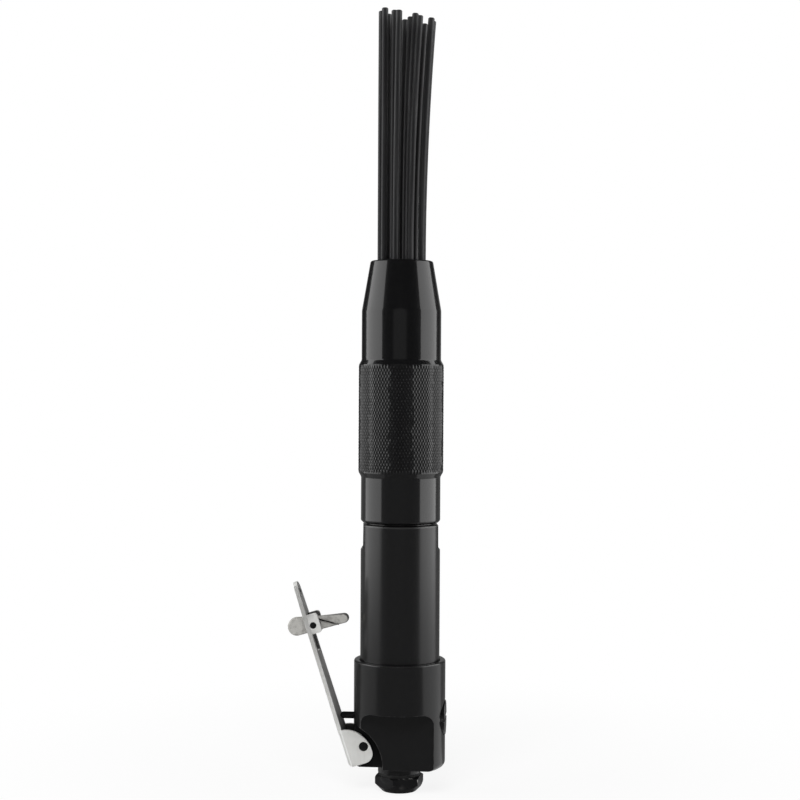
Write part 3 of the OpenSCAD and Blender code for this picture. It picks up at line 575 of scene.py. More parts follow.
class Form:
    """A closed mesh under construction, in millimetres in the part's frame."""

    # A face narrower than this, in metres, belongs to a rounded edge.
    NARROW = 0.0003
    # An edge that turns this far, in degrees, is worn in full.
    WORN_TURN = 40.0
    # Faces that turn less than this, in degrees, are one face to be rounded.
    FLAT_TURN = 0.3
    # Edges shorter than this are dropped before rounding.
    TINY = 0.02
    # Points nearer than this are one point.
    SAME = 1e-4
    # A direction that no tube starts along.
    ASKEW = (0.31, 0.87, 0.38)

    def __init__(self, mesh: bpy.types.Mesh) -> None:
        """Takes over a mesh."""
        self.mesh = mesh

    @classmethod
    def of(cls, points: Sequence[Sequence[float]], faces: Sequence[Sequence[int]]) -> "Form":
        """Makes a form from points and faces, with its faces turned outwards.

        Args:
            points: The corners.
            faces: The places of each face's corners in that list.

        Returns:
            The form.
        """
        mesh = bpy.data.meshes.new("form")
        mesh.from_pydata([tuple(p) for p in points], [], [tuple(f) for f in faces])
        form = cls(mesh)
        form._edit(lambda b: bmesh.ops.recalc_face_normals(b, faces=b.faces))
        return form

    @classmethod
    def turned(cls, profile: Sequence[Point2], axis: Axis = Axis.Z, steps: int = 160,
               middle: Point3 = (0, 0, 0)) -> "Form":
        """Turns a profile about an axis.

        Args:
            profile: Radius and height of each point; it is closed, or starts and ends on the axis.
            axis: The axis of turning.
            steps: How many facets go round.
            middle: A point on the axis, from which heights count.

        Returns:
            The turned form.
        """
        points: list[Point3] = []
        rings: list[list[int]] = []
        for radius, height in profile:
            count = 1 if radius < 1e-6 else steps
            rings.append([len(points) + k for k in range(count)])
            for k in range(count):
                a = 2 * math.pi * k / steps
                u, v = radius * math.cos(a), radius * math.sin(a)
                points.append(tuple(np.add(axis.point(u, v, height), middle)))
        open_ended = len(rings[0]) == 1 and len(rings[-1]) == 1
        pairs = list(zip(rings, rings[1:])) + ([] if open_ended else [(rings[-1], rings[0])])
        faces = []
        for low, high in pairs:
            for k in range(steps):
                n = (k + 1) % steps
                around = [low[k % len(low)], low[n % len(low)], high[n % len(high)], high[k % len(high)]]
                faces.append(list(dict.fromkeys(around)))
        return cls.of(points, [f for f in faces if len(f) > 2])

    @classmethod
    def plate(cls, outline: Sequence[Point2], low: float, high: float, axis: Axis = Axis.Y) -> "Form":
        """Gives an outline thickness.

        Args:
            outline: Points in the two other axes, in X, Y, Z order.
            low: Where the thickness starts along the axis.
            high: Where it ends.
            axis: The axis that the thickness runs along.

        Returns:
            The plate.
        """
        n = len(outline)
        points = [axis.point(u, v, level) for level in (low, high) for u, v in outline]
        sides = [[k, (k + 1) % n, (k + 1) % n + n, k + n] for k in range(n)]
        return cls.of(points, [list(range(n)), list(range(n, 2 * n)), *sides])

    @classmethod
    def tube(cls, path: Sequence[Sequence[float]], radii: float | Sequence[float],
             sides: int = 10) -> "Form":
        """Sweeps a round section along a path.

        Args:
            path: The middle line's points.
            radii: The section's radius, or one for each point.
            sides: How many facets go round.

        Returns:
            The tube, with flat ends.
        """
        line = np.asarray(path, float)
        size = np.broadcast_to(np.asarray(radii, float), len(line))
        along = np.gradient(line, axis=0)
        along /= np.linalg.norm(along, axis=1)[:, None]
        side = np.cross(along[0], cls.ASKEW)
        points: list[np.ndarray] = []
        for spot, way, radius in zip(line, along, size):
            side = side - way * np.dot(side, way)
            side /= np.linalg.norm(side)
            across = np.cross(way, side)
            turn = np.arange(sides) * 2 * math.pi / sides
            points.extend(spot + radius * (np.outer(np.cos(turn), side) + np.outer(np.sin(turn), across)))
        last = (len(line) - 1) * sides
        faces = []
        for low in range(0, last, sides):
            for k in range(sides):
                n = (k + 1) % sides
                faces.append([low + k, low + n, low + sides + n, low + sides + k])
        return cls.of(points, [*faces, list(range(sides)), list(range(last, last + sides))])

    def _edit(self, change: Callable[[bmesh.types.BMesh], object]) -> None:
        """Changes the mesh through bmesh.

        Args:
            change: What is done to it.
        """
        work = bmesh.new()
        work.from_mesh(self.mesh)
        change(work)
        work.to_mesh(self.mesh)
        work.free()

    def _object(self) -> bpy.types.Object:
        """Puts the mesh in the scene as a helper object."""
        return linked("form", self.mesh)

    def _applied(self, host: bpy.types.Object, helpers: Sequence[bpy.types.Object] = ()) -> "Form":
        """Applies a helper object's modifiers and clears the helpers away.

        Args:
            host: The object with the modifiers.
            helpers: The other objects that they use.

        Returns:
            What came out.
        """
        bpy.context.view_layer.update()
        graph = bpy.context.evaluated_depsgraph_get()
        mesh = bpy.data.meshes.new_from_object(host.evaluated_get(graph))
        for helper in (host, *helpers):
            bpy.data.objects.remove(helper)
        made = Form(mesh)
        made._edit(lambda b: bmesh.ops.remove_doubles(b, verts=b.verts, dist=self.SAME))
        return made

    def combined(self, how: Join, *others: "Form") -> "Form":
        """Adds, cuts away or keeps what lies in other forms.

        Args:
            how: The kind of combination.
            others: The other forms, one after another.

        Returns:
            The result.
        """
        host = self._object()
        helpers = [other._object() for other in others]
        for helper in helpers:
            modifier = host.modifiers.new("combine", "BOOLEAN")
            modifier.operation = how.value
            modifier.solver = "EXACT"
            modifier.object = helper
        return self._applied(host, helpers)

    def cut(self, *others: "Form") -> "Form":
        """Cuts other forms away."""
        return self.combined(Join.CUT, *others)

    def add(self, *others: "Form") -> "Form":
        """Adds other forms."""
        return self.combined(Join.ADD, *others)

    def keep(self, *others: "Form") -> "Form":
        """Keeps what also lies in other forms."""
        return self.combined(Join.KEEP, *others)

    def eased(self, width: float, steps: int = 2, angle: float = 28.0) -> "Form":
        """Rounds the sharp edges.

        Args:
            width: Width of the rounding.
            steps: How many facets it has.
            angle: The least angle in degrees at which an edge counts as sharp.

        Returns:
            The rounded form.
        """
        def clear(work: bmesh.types.BMesh) -> None:
            """Joins what is flat and drops tiny edges."""
            bmesh.ops.dissolve_limit(work, angle_limit=math.radians(self.FLAT_TURN), verts=work.verts,
                                     edges=work.edges)
            bmesh.ops.dissolve_degenerate(work, dist=self.TINY, edges=work.edges)

        self._edit(clear)
        host = self._object()
        modifier = host.modifiers.new("ease", "BEVEL")
        modifier.limit_method = "ANGLE"
        modifier.angle_limit = math.radians(angle)
        modifier.width = width
        modifier.segments = steps
        modifier.use_clamp_overlap = False
        return self._applied(host)

    def scored(self, level: float) -> "Form":
        """Splits the faces at a level, so that the shading of a cut above it ends there."""
        self._edit(lambda b: bmesh.ops.bisect_plane(b, geom=[*b.verts, *b.edges, *b.faces],
                                                    plane_co=(0, 0, level), plane_no=(0, 0, 1)))
        return self

    def moved(self, matrix: Matrix) -> "Form":
        """Moves the form in place."""
        self.mesh.transform(matrix)
        return self

    def mirrored(self) -> "Form":
        """Makes a copy on the other side of the lever's plane.

        Returns:
            The copy.
        """
        made = Form(self.mesh.copy())
        made.mesh.transform(Matrix.Diagonal((1, -1, 1, 1)))
        made._edit(lambda b: bmesh.ops.recalc_face_normals(b, faces=b.faces))
        return made

    def dulled(self, share: Callable[[Vector, Vector], float]) -> "Form":
        """Stores a value at each corner that a finish reads as dullness, painted shade, bare metal and
        painted highlights.

        Args:
            share: Gives it for a corner's place and its face's direction.

        Returns:
            The form itself.
        """
        layer = self.mesh.attributes.new("dull", "FLOAT", "CORNER")
        for face in self.mesh.polygons:
            for corner in face.loop_indices:
                spot = self.mesh.vertices[self.mesh.loops[corner].vertex_index].co
                layer.data[corner].value = share(spot, face.normal)
        return self

    def _mark_edges(self, angle: float, wear: float) -> None:
        """Marks sharp edges for shading and stores how sharp and convex each point is.

        Args:
            angle: The angle in degrees from which an edge is shaded sharp.
            wear: How worn the edges are, where 1 is plain wear.
        """
        work = bmesh.new()
        work.from_mesh(self.mesh)
        sharpness = [0.0] * len(work.verts)
        for edge in work.edges:
            turn = math.degrees(edge.calc_face_angle_signed(0.0)) if edge.is_manifold else 0.0
            edge.smooth = abs(turn) < angle
            worn = wear * min(1.0, turn / self.WORN_TURN)
            for point in edge.verts:
                sharpness[point.index] = max(sharpness[point.index], worn)
        layer = work.loops.layers.float.new("edge")
        for face in work.faces:
            face.smooth = True
            narrow = face.calc_area() / max(edge.calc_length() for edge in face.edges) < self.NARROW
            for loop in face.loops:
                loop[layer] = sharpness[loop.vert.index] if narrow else 0.0
        work.to_mesh(self.mesh)
        work.free()

    def piece(self, name: str, body: str | None, finish: Finish, *nodes: str, sharp: float = 32.0,
              wear: float = 1.0) -> bpy.types.Object:
        """Turns the form into a piece of the object.

        Args:
            name: The piece's name.
            body: The body that it rides on, or None, which leaves it unattached and without flat shading.
            finish: Its surface.
            nodes: The nodes of the part that it stands for.
            sharp: The angle in degrees from which an edge is shaded sharp.
            wear: How worn its edges are, where 1 is plain wear.

        Returns:
            The piece.
        """
        self.mesh.transform(Matrix.Scale(MM, 4))
        self._mark_edges(sharp, wear)
        self.mesh.name = name
        self.mesh.materials.clear()
        self.mesh.materials.append(finish.material())
        made = linked(name, self.mesh)
        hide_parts(*nodes)
        if body:
            # Flat faces are shaded flat up to their rounded edges.
            made.modifiers.new("flat shading", "WEIGHTED_NORMAL").keep_sharp = True
            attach(made, body)
        LOG.info("%s: %d faces on %s", name, len(self.mesh.polygons), body or "two bodies")
        return made


def bar(radius: float, low: float, high: float, axis: Axis, middle: Point3 = (0, 0, 0),
        steps: int = 64) -> Form:
    """A round bar to cut a hole with."""
    return Form.turned([(0, low), (radius, low), (radius, high), (0, high)], axis, steps, middle)


@dataclass
class LeverPlace:
    """Where the lever's own frame sits: its pivot at the origin and its web along Z.

    Attributes:
        pivot: The pivot's place.
        tilt: How far the lever leans away from the tool at rest, in degrees.
        latch: The latch pin's place in the lever's frame.
    """

    pivot: Point3 = (-16.1, 0.0, 21.6)
    tilt: float = 18.0
    latch: Point3 = (-5.9, 0.0, 60.4)

    def matrix(self) -> Matrix:
        """From the lever's frame to the part's."""
        return Matrix.Translation(self.pivot) @ Matrix.Rotation(math.radians(-self.tilt), 4, "Y")

    def latch_matrix(self) -> Matrix:
        """From the latch's frame to the part's."""
        return self.matrix() @ Matrix.Translation(self.latch)


@dataclass
class ValveHousing:
    """The housing with its inlet boss, side flats, lever lug and valve bore."""

    place: LeverPlace
    radius: float = 21.45
    boss_radius: float = 10.0
    boss_low: float = 8.5
    foot: float = 11.5
    rim: float = 61.5
    foot_round: float = 2.8
    rim_round: float = 0.8
    rim_chamfer: float = 0.5
    socket_radius: float = 18.7
    socket_floor: float = 46.0
    shank_radius: float = 8.05
    shank_end: float = 22.0
    flat_out: float = 12.5
    flat_half: float = 17.0
    flat_top: float = 38.4
    flat_corner: float = 5.5
    lug_half: float = 6.3
    recess_radius: float = 20.5
    recess_middle: Point2 = (-27.4, 13.0)
    relief: float = 7.0
    valve_level: float = 34.5
    plug_radius: float = 8.5
    plug_floor: float = 17.4
    stem_radius: float = 1.66
    seal_radius: float = 3.09
    chamber_radius: float = 7.0
    pin_radius: float = 2.125
    foot_lap: float = 0.04
    plug_lip: float = 0.9
    cup_depth: float = 6.0
    chamber_low: float = -1.0
    seat_radius: float = 4.2
    seat_low: float = -9.0
    seal_low: float = -15.0
    seal_high: float = -13.0
    inlet_radius: float = 3.5
    inlet_x: float = 4.0
    outlet_radius: float = 3.0
    outlet_x: float = -5.0
    edge: float = 0.25

    def blank(self) -> Form:
        """Turns the blank, before anything is milled.

        Returns:
            The blank.
        """
        r, shank, boss, socket = self.radius, self.shank_radius, self.boss_radius, self.socket_radius
        return Form.turned([
            (0, self.shank_end), (shank, self.shank_end), (shank, self.boss_low), (boss, self.boss_low),
            (boss, self.foot),
            *arc((r - self.foot_round, self.foot + self.foot_round), self.foot_round, -90, 0, 12),
            *arc((r - self.rim_round, self.rim - self.rim_round), self.rim_round, 0, 90, 8),
            (socket + self.rim_chamfer, self.rim), (socket, self.rim - self.rim_chamfer),
            (socket, self.socket_floor), (0, self.socket_floor)], steps=192)

    def side_cuts(self) -> list[Form]:
        """Makes the cutters of each side.

        Returns:
            The flat and the round ear recess, near and far.
        """
        far, low = 2 * self.radius, self.foot - self.foot_lap
        half, corner, level = self.flat_half, self.flat_corner, self.flat_top - self.flat_corner
        flat = Form.plate([(-half, low), (half, low), *arc((half - corner, level), corner, 0, 90, 10),
                           *arc((corner - half, level), corner, 90, 180, 10)], -far, -self.flat_out)
        (x, z), r = self.recess_middle, self.recess_radius
        dip = math.degrees(math.asin((z - low) / r))
        recess = Form.plate(arc((x, z), r, -dip, 180 + dip, 72), -far, -self.lug_half)
        return [flat, flat.mirrored(), recess, recess.mirrored()]

    def air_ways(self) -> list[Form]:
        """Makes the drills of the air's way.

        Returns:
            The valve's stepped chamber, the seal's groove and the ways in and out.
        """
        level, end = (0, 0, self.valve_level), self.plug_floor - self.cup_depth
        way_in, way_out = (self.inlet_x, 0, 0), (self.outlet_x, 0, 0)
        return [bar(self.plug_radius - self.plug_lip, end, self.plug_floor + LAP, Axis.X, level, 96),
                bar(self.chamber_radius, self.chamber_low, end + LAP, Axis.X, level, 96),
                bar(self.seat_radius, self.seat_low, self.chamber_low + LAP, Axis.X, level),
                bar(self.seal_radius, self.seal_low, self.seal_high, Axis.X, level, 48),
                bar(self.inlet_radius, self.shank_end - LAP, self.valve_level, Axis.Z, way_in, 48),
                bar(self.outlet_radius, self.valve_level, self.socket_floor + LAP, Axis.Z, way_out, 48)]

    def dull(self, spot: Vector, way: Vector) -> float:
        """Dulls the recesses' floors and paints a highlight of bare metal on the rim's round edge.

        Args:
            spot: A point.
            way: The direction that its face looks in.

        Returns:
            How dull the lacquer is there, or less than 0 where the highlight is painted.
        """
        out, up = math.hypot(spot.x, spot.y) - self.radius, spot.z - self.rim
        # Painted highlight of bare metal on the rim's round edge.
        if min(out, up) > -0.6 * self.rim_round:
            return -1.0
        return float(abs(way.y) > 0.9 and abs(spot.y) < self.lug_half + 0.1)

    def build(self) -> None:
        """Mills the blank and dresses it."""
        far, (px, _, pz) = 2 * self.radius, self.place.pivot
        relief = Form.plate([(-self.relief - far, -far), (-self.relief, -far), (-self.relief, 0),
                             (-self.relief - far, 0)], -far, far).moved(self.place.matrix())
        level = (0, 0, self.valve_level)
        milled = self.blank().cut(
            *self.side_cuts(), relief,
            bar(self.plug_radius, self.plug_floor, far, Axis.X, level, 96),
            bar(self.stem_radius, -far, self.seat_low + LAP, Axis.X, level, 32),
            bar(self.pin_radius, -far, far, Axis.Y, (px, 0, pz), 48))
        bored = milled.eased(self.edge, 3)
        for way in self.air_ways():
            bored = bored.cut(way)
        bored.dulled(self.dull).piece("valve_housing_shell", "tool_body", SEMI, "valve_housing")


@dataclass
class InletBushing:
    """The hexagon bushing with its tapped inlet."""

    across_flats: float = 20.6
    turn: float = 21.1
    height: float = 7.3
    foot_radius: float = 8.194
    shank_radius: float = 8.0
    shank_end: float = 22.0
    bore_radius: float = 5.72
    bore_depth: float = 14.0
    thread_depth: float = 0.75
    pitch: float = 1.41
    way_radius: float = 4.2
    screen_radius: float = 5.95
    screen_level: float = 19.5
    shank_start: float = 5.0
    shank_chamfer: float = 0.6
    crown_in: float = 1.4
    crown_slope: float = 0.55
    mouth: float = 0.9
    bore_play: float = 0.06
    edge: float = 0.3
    thread_sides: int = 48

    def thread(self) -> Form:
        """Makes the screw that the inlet's thread is cut with.

        Returns:
            The screw.
        """
        sides, rows = self.thread_sides, 2 * int(self.bore_depth / self.pitch) + 3
        points, faces = [], []
        for j in range(rows):
            for k in range(sides):
                a = 2 * math.pi * k / sides
                r = self.bore_radius + (self.thread_depth if j % 2 else 0.0)
                z = self.bore_depth - self.pitch * (0.5 * j + k / sides)
                points.append((r * math.cos(a), r * math.sin(a), z))
        for j in range(rows - 1):
            for k in range(sides - 1):
                a = j * sides + k
                faces.append([a, a + 1, a + 1 + sides, a + sides])
            if j + 3 < rows:
                a = j * sides + sides - 1
                faces.append([a, (j + 2) * sides, (j + 3) * sides, a + sides])
        work = bmesh.new()
        made = [work.verts.new(p) for p in points]
        for face in faces:
            work.faces.new([made[i] for i in face])
        bmesh.ops.holes_fill(work, edges=[e for e in work.edges if e.is_boundary], sides=0)
        bmesh.ops.recalc_face_normals(work, faces=work.faces)
        mesh = bpy.data.meshes.new("thread")
        work.to_mesh(mesh)
        work.free()
        return Form(mesh)

    def build(self) -> None:
        """Makes the hexagon, its shank and its bore, and dresses them."""
        corner = self.across_flats / 2 / math.cos(math.radians(30))
        out, crown, top = corner + 0.5, corner - self.crown_in, self.height + 0.01
        outline = arc((0, 0), corner, self.turn, self.turn + 360, 6)[:-1]
        hexagon = Form.plate(outline, 0, self.height, Axis.Z)
        cones = Form.turned([(0, -0.01), (self.foot_radius, -0.01), (out, out - self.foot_radius),
                             (out, self.height - self.crown_slope * (out - crown)), (crown, top),
                             (0, top)], steps=144)
        s, start, end, c = self.shank_radius, self.shank_start, self.shank_end, self.shank_chamfer
        shank = Form.turned([(0, start), (s, start), (s, end - c), (s - c, end), (0, end)], steps=96)
        r, m = self.bore_radius, self.mouth
        mouth = Form.turned([(0, -1.0), (r + m + 1.0, -1.0), (r, m), (0, m)], steps=96)
        blank = hexagon.eased(self.edge, 3).keep(cones).add(shank)
        drilled = blank.cut(mouth, bar(r + self.bore_play, -1.0, self.bore_depth, Axis.Z),
                            bar(self.way_radius, 0.0, end + 1, Axis.Z),
                            bar(self.screen_radius, self.screen_level, end + 1, Axis.Z))
        tapped = drilled.cut(self.thread())
        tapped.piece("inlet_hexagon", "tool_body", OXIDE, "inlet_bushing", sharp=24.0, wear=1.7)


@dataclass
class Throttle:
    """The valve plug, the stem that the lever pushes and the spring behind it."""

    level: float = 34.5
    plug_radius: float = 8.2
    plug_head: float = 17.4
    plug_face: float = 21.75
    plug_shank: float = 7.55
    slot_half: float = 0.8
    slot_floor: float = 20.25
    stem_radius: float = 1.6
    stem_middle: float = -26.39
    spring_radius: float = 3.6
    spring_wire: float = 0.9
    spring_low: float = 6.55
    spring_high: float = 17.85
    spring_turns: int = 6
    plug_depth: float = 6.0
    plug_chamfer: float = 0.4
    face_round: float = 0.7
    cup_radius: float = 4.8
    cup_floor: float = 1.0
    groove_radius: float = 5.95
    groove_low: float = 5.0
    groove_high: float = 3.0
    head_radius: float = 4.8
    head_low: float = 4.0
    head_high: float = 6.0
    head_chamfer: float = 0.3
    spigot_radius: float = 2.3
    spigot_end: float = 9.0
    spigot_chamfer: float = 0.4
    edge: float = 0.15

    def plug(self) -> None:
        """Makes the slotted plug."""
        r, s, f, h = self.plug_radius, self.plug_shank, self.plug_face, self.plug_head
        cup, groove, c, e = self.cup_radius, self.groove_radius, self.plug_chamfer, self.face_round
        end, low, high, floor = (h - self.plug_depth, h - self.groove_low, h - self.groove_high,
                                 h + self.cup_floor)
        turned = Form.turned([(0, floor), (cup, floor), (cup, end), (s - c, end), (s, end + c), (s, low),
                              (groove, low), (groove, high), (s, high), (s, h), (r, h),
                              *arc((r - e, f - e), e, 0, 90, 6), (0, f)], Axis.X, 128, (0, 0, self.level))
        under, over = self.level - self.slot_half, self.level + self.slot_half
        outline = [(self.slot_floor, under), (f + 1, under), (f + 1, over), (self.slot_floor, over)]
        slot = Form.plate(outline, -2 * r, 2 * r)
        turned.cut(slot).eased(self.edge, 2).piece("slotted_plug", "tool_body", SEMI, "valve_plug")

    def stem(self) -> None:
        """Makes the stem with its rounded end and its head."""
        r, m, low, high = self.stem_radius, self.stem_middle, self.head_low, self.head_high
        h, c, s, e, end = (self.head_radius, self.head_chamfer, self.spigot_radius, self.spigot_chamfer,
                           self.spigot_end)
        dome = [(r * math.sin(a), m - r * math.cos(a)) for a in np.linspace(0, math.pi / 2, 9)]
        turned = Form.turned([*dome, (r, low), (h - c, low), (h, low + c), (h, high), (s, high),
                              (s, end - e), (s - e, end), (0, end)], Axis.X, 48, (0, 0, self.level))
        turned.piece("domed_stem", "throttle", OXIDE, "throttle_stem")

    def spring(self) -> None:
        """Winds the coil that closes the valve, which shortens as the stem goes in."""
        turn = np.linspace(0, 2 * math.pi * self.spring_turns, 24 * self.spring_turns + 1)
        along = self.spring_low + (self.spring_high - self.spring_low) * turn / turn[-1]
        r = self.spring_radius
        path = np.column_stack([along, r * np.sin(turn), self.level - r * np.cos(turn)])
        wire = Form.tube(path, self.spring_wire / 2, 8)
        coil = wire.piece("valve_coil", None, STEEL, "valve_spring", sharp=60.0)
        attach(coil, "tool_body")
        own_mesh(coil)

    def build(self) -> None:
        """Makes the three pieces."""
        self.plug()
        self.stem()
        self.spring()


@dataclass
class ThrottleLever:
    """The pressed sheet lever and its pivot pin."""

    place: LeverPlace
    reach: float = 82.0
    stand: float = 9.5
    sheet: float = 1.9
    base_half: float = 8.5
    latch_half: float = 5.5
    tip_half: float = 4.25
    bend: float = 2.2
    crown: float = 12.8
    drop: float = 2.6
    heel: float = 7.7
    corner: float = 4.6
    heel_corner: float = 2.4
    strip_start: float = 8.6
    strip_half: float = 8.1
    taper_end: float = 66.0
    tip_hole: float = 1.75
    tip_hole_in: float = 5.0
    pin_radius: float = 2.1
    latch_ear_low: float = 56.4
    latch_ear_high: float = 65.8
    latch_ear_out: float = 6.9
    slot_half: float = 3.6
    slot_low: float = 48.1
    slot_high: float = 65.8
    inner_bend: float = 0.5
    latch_ear_in: float = 0.2
    latch_ear_round: float = 1.5
    # Where the painted highlight runs round each bend of the foot, and its half width.
    highlight_turn: float = 22.5
    highlight_half: float = 0.1
    # Painted shade in the holes and between the latch ears, and the darkening of the strip's side faces.
    painted_deep_shade: float = 3.0
    side_darkening: float = 1.3
    edge: float = 0.15
    pin_half: float = 8.7
    pin_play: float = 0.05
    pin_round: float = 0.25
    latch_pin_radius: float = 1.5
    latch_pin_half: float = 5.7
    latch_pin_play: float = 0.025

    def foot(self) -> Form:
        """Folds the foot.

        Returns:
            Two ears joined by the web.
        """
        x0, edge, heel, corner = -self.stand, self.crown - self.stand, self.heel_corner, self.corner
        ears = Form.plate([*arc((x0 + heel, heel - self.heel), heel, 180, 270, 6),
                           *arc((edge - corner, corner - self.heel), corner, -90, 0, 10),
                           *arc((x0, -self.drop), self.crown, 0, 90, 24)], -WIDE, WIDE)
        w, b, inner, far = self.base_half, self.bend, self.base_half - self.sheet, 1.5 * WIDE
        web, c = self.sheet - self.stand, self.inner_bend
        channel = Form.plate([
            (far, -w), *arc((x0 + b, b - w), b, 270, 180, 8), *arc((x0 + b, w - b), b, 180, 90, 8),
            (far, w), (far, inner), *arc((web + c, inner - c), c, 90, 180, 4),
            *arc((web + c, c - inner), c, 180, 270, 4), (far, -inner)], -WIDE, WIDE, Axis.Z)
        return ears.keep(channel)

    def strip(self) -> Form:
        """Cuts the long web.

        Returns:
            The web with its rounded tip.
        """
        t, w, root = self.tip_half, self.latch_half, self.strip_half
        outline = [(-root, self.strip_start), (root, self.strip_start), (w, self.taper_end),
                   *arc((0, self.reach - t), t, 0, 180, 24), (-w, self.taper_end)]
        return Form.plate(outline, -self.stand, self.sheet - self.stand, Axis.X)

    def latch_ears(self) -> list[Form]:
        """Raises the ears that hold the latch pin.

        Returns:
            The far one and the near one.
        """
        x0, w = -self.stand, self.latch_half
        outline = round_rect((x0 + self.latch_ear_in, self.latch_ear_low),
                             (x0 + self.latch_ear_out, self.latch_ear_high), self.latch_ear_round)
        return [Form.plate(outline, w - self.sheet, w), Form.plate(outline, -w, self.sheet - w)]

    def wear_and_highlight(self, spot: Vector) -> bool:
        """Finds the line along each bend of the foot where a highlight is painted.

        Args:
            spot: A point.

        Returns:
            Whether it is on such a line.
        """
        turn = math.radians(self.highlight_turn)
        x = self.bend * (1 - math.sin(turn)) - self.stand
        y = self.base_half - self.bend * (1 - math.cos(turn))
        return math.hypot(spot.x - x, abs(spot.y) - y) < self.highlight_half

    def dull(self, spot: Vector, way: Vector) -> float:
        """Paints shade on the inner faces, most in the holes and between the ears, and darkens the side
        faces towards the tip.

        Args:
            spot: A point.
            way: The direction that its face looks in.

        Returns:
            How much shade is painted there, or less than 0 where a highlight is painted.
        """
        # Painted highlight along the bends.
        if self.wear_and_highlight(spot):
            return -1.0
        # Inner faces get painted shade, deepest in the tip's hole and between the latch ears.
        inner = way.x > 0.8 or spot.y * way.y < -1.0
        from_hole = math.hypot(spot.y, spot.z - self.reach + self.tip_hole_in)
        in_hole = from_hole < self.tip_hole + 0.1 and abs(way.x) < 0.5
        if in_hole or (inner and way.x < 0.8 and spot.z > self.slot_low - 1):
            return self.painted_deep_shade
        # The strip's side faces get darker towards the tip.
        along = (spot.z - self.strip_start) / (self.taper_end - self.strip_start)
        if abs(way.y) > 0.8 and not inner and spot.x < self.sheet - self.stand + 0.1 and along > 0:
            return self.side_darkening * min(1.0, along)
        return float(inner)

    def build(self) -> None:
        """Joins the pressed shapes, drills them and dresses them."""
        half, back = self.slot_half, -self.stand - 1
        opening = round_rect((-half, self.slot_low), (half, self.slot_high), self.latch_ear_round)
        slot = Form.plate(opening, back, self.sheet - self.stand + 0.3, Axis.X)
        pressed = self.foot().add(self.strip()).add(*self.latch_ears()).cut(
            slot, bar(self.tip_hole, back, 1.0, Axis.X, (0, 0, self.reach - self.tip_hole_in), 48),
            bar(self.pin_radius + self.pin_play, -WIDE, WIDE, Axis.Y, steps=48),
            bar(self.latch_pin_radius + self.latch_pin_play, -WIDE, WIDE, Axis.Y, self.place.latch, 40))
        dressed = pressed.eased(self.edge, 3).dulled(self.dull).moved(self.place.matrix())
        dressed.piece("pressed_lever", "lever", SHEET, "lever")
        self.pin(self.place.pivot, self.pin_radius, self.pin_half, "pivot_pin", "tool_body", "lever_pin")
        spot = tuple(self.place.matrix() @ Vector(self.place.latch))
        self.pin(spot, self.latch_pin_radius, self.latch_pin_half, "latch_pivot", "lever", "latch_pin")

    def pin(self, middle: Point3, radius: float, half: float, name: str, body: str, node: str) -> None:
        """A headless pin with rounded ends.

        Args:
            middle: The pin's middle.
            radius: Its radius.
            half: Half its length.
            name: The piece's name.
            body: The body that it rides on.
            node: The node that it stands for.
        """
        ease = self.pin_round
        end = [(0, half), *arc((radius - ease, half - ease), ease, 90, 0, 4)]
        turned = Form.turned([*end, *[(x, -z) for x, z in reversed(end)]], Axis.Y, 48, middle)
        turned.piece(name, body, OXIDE, node)


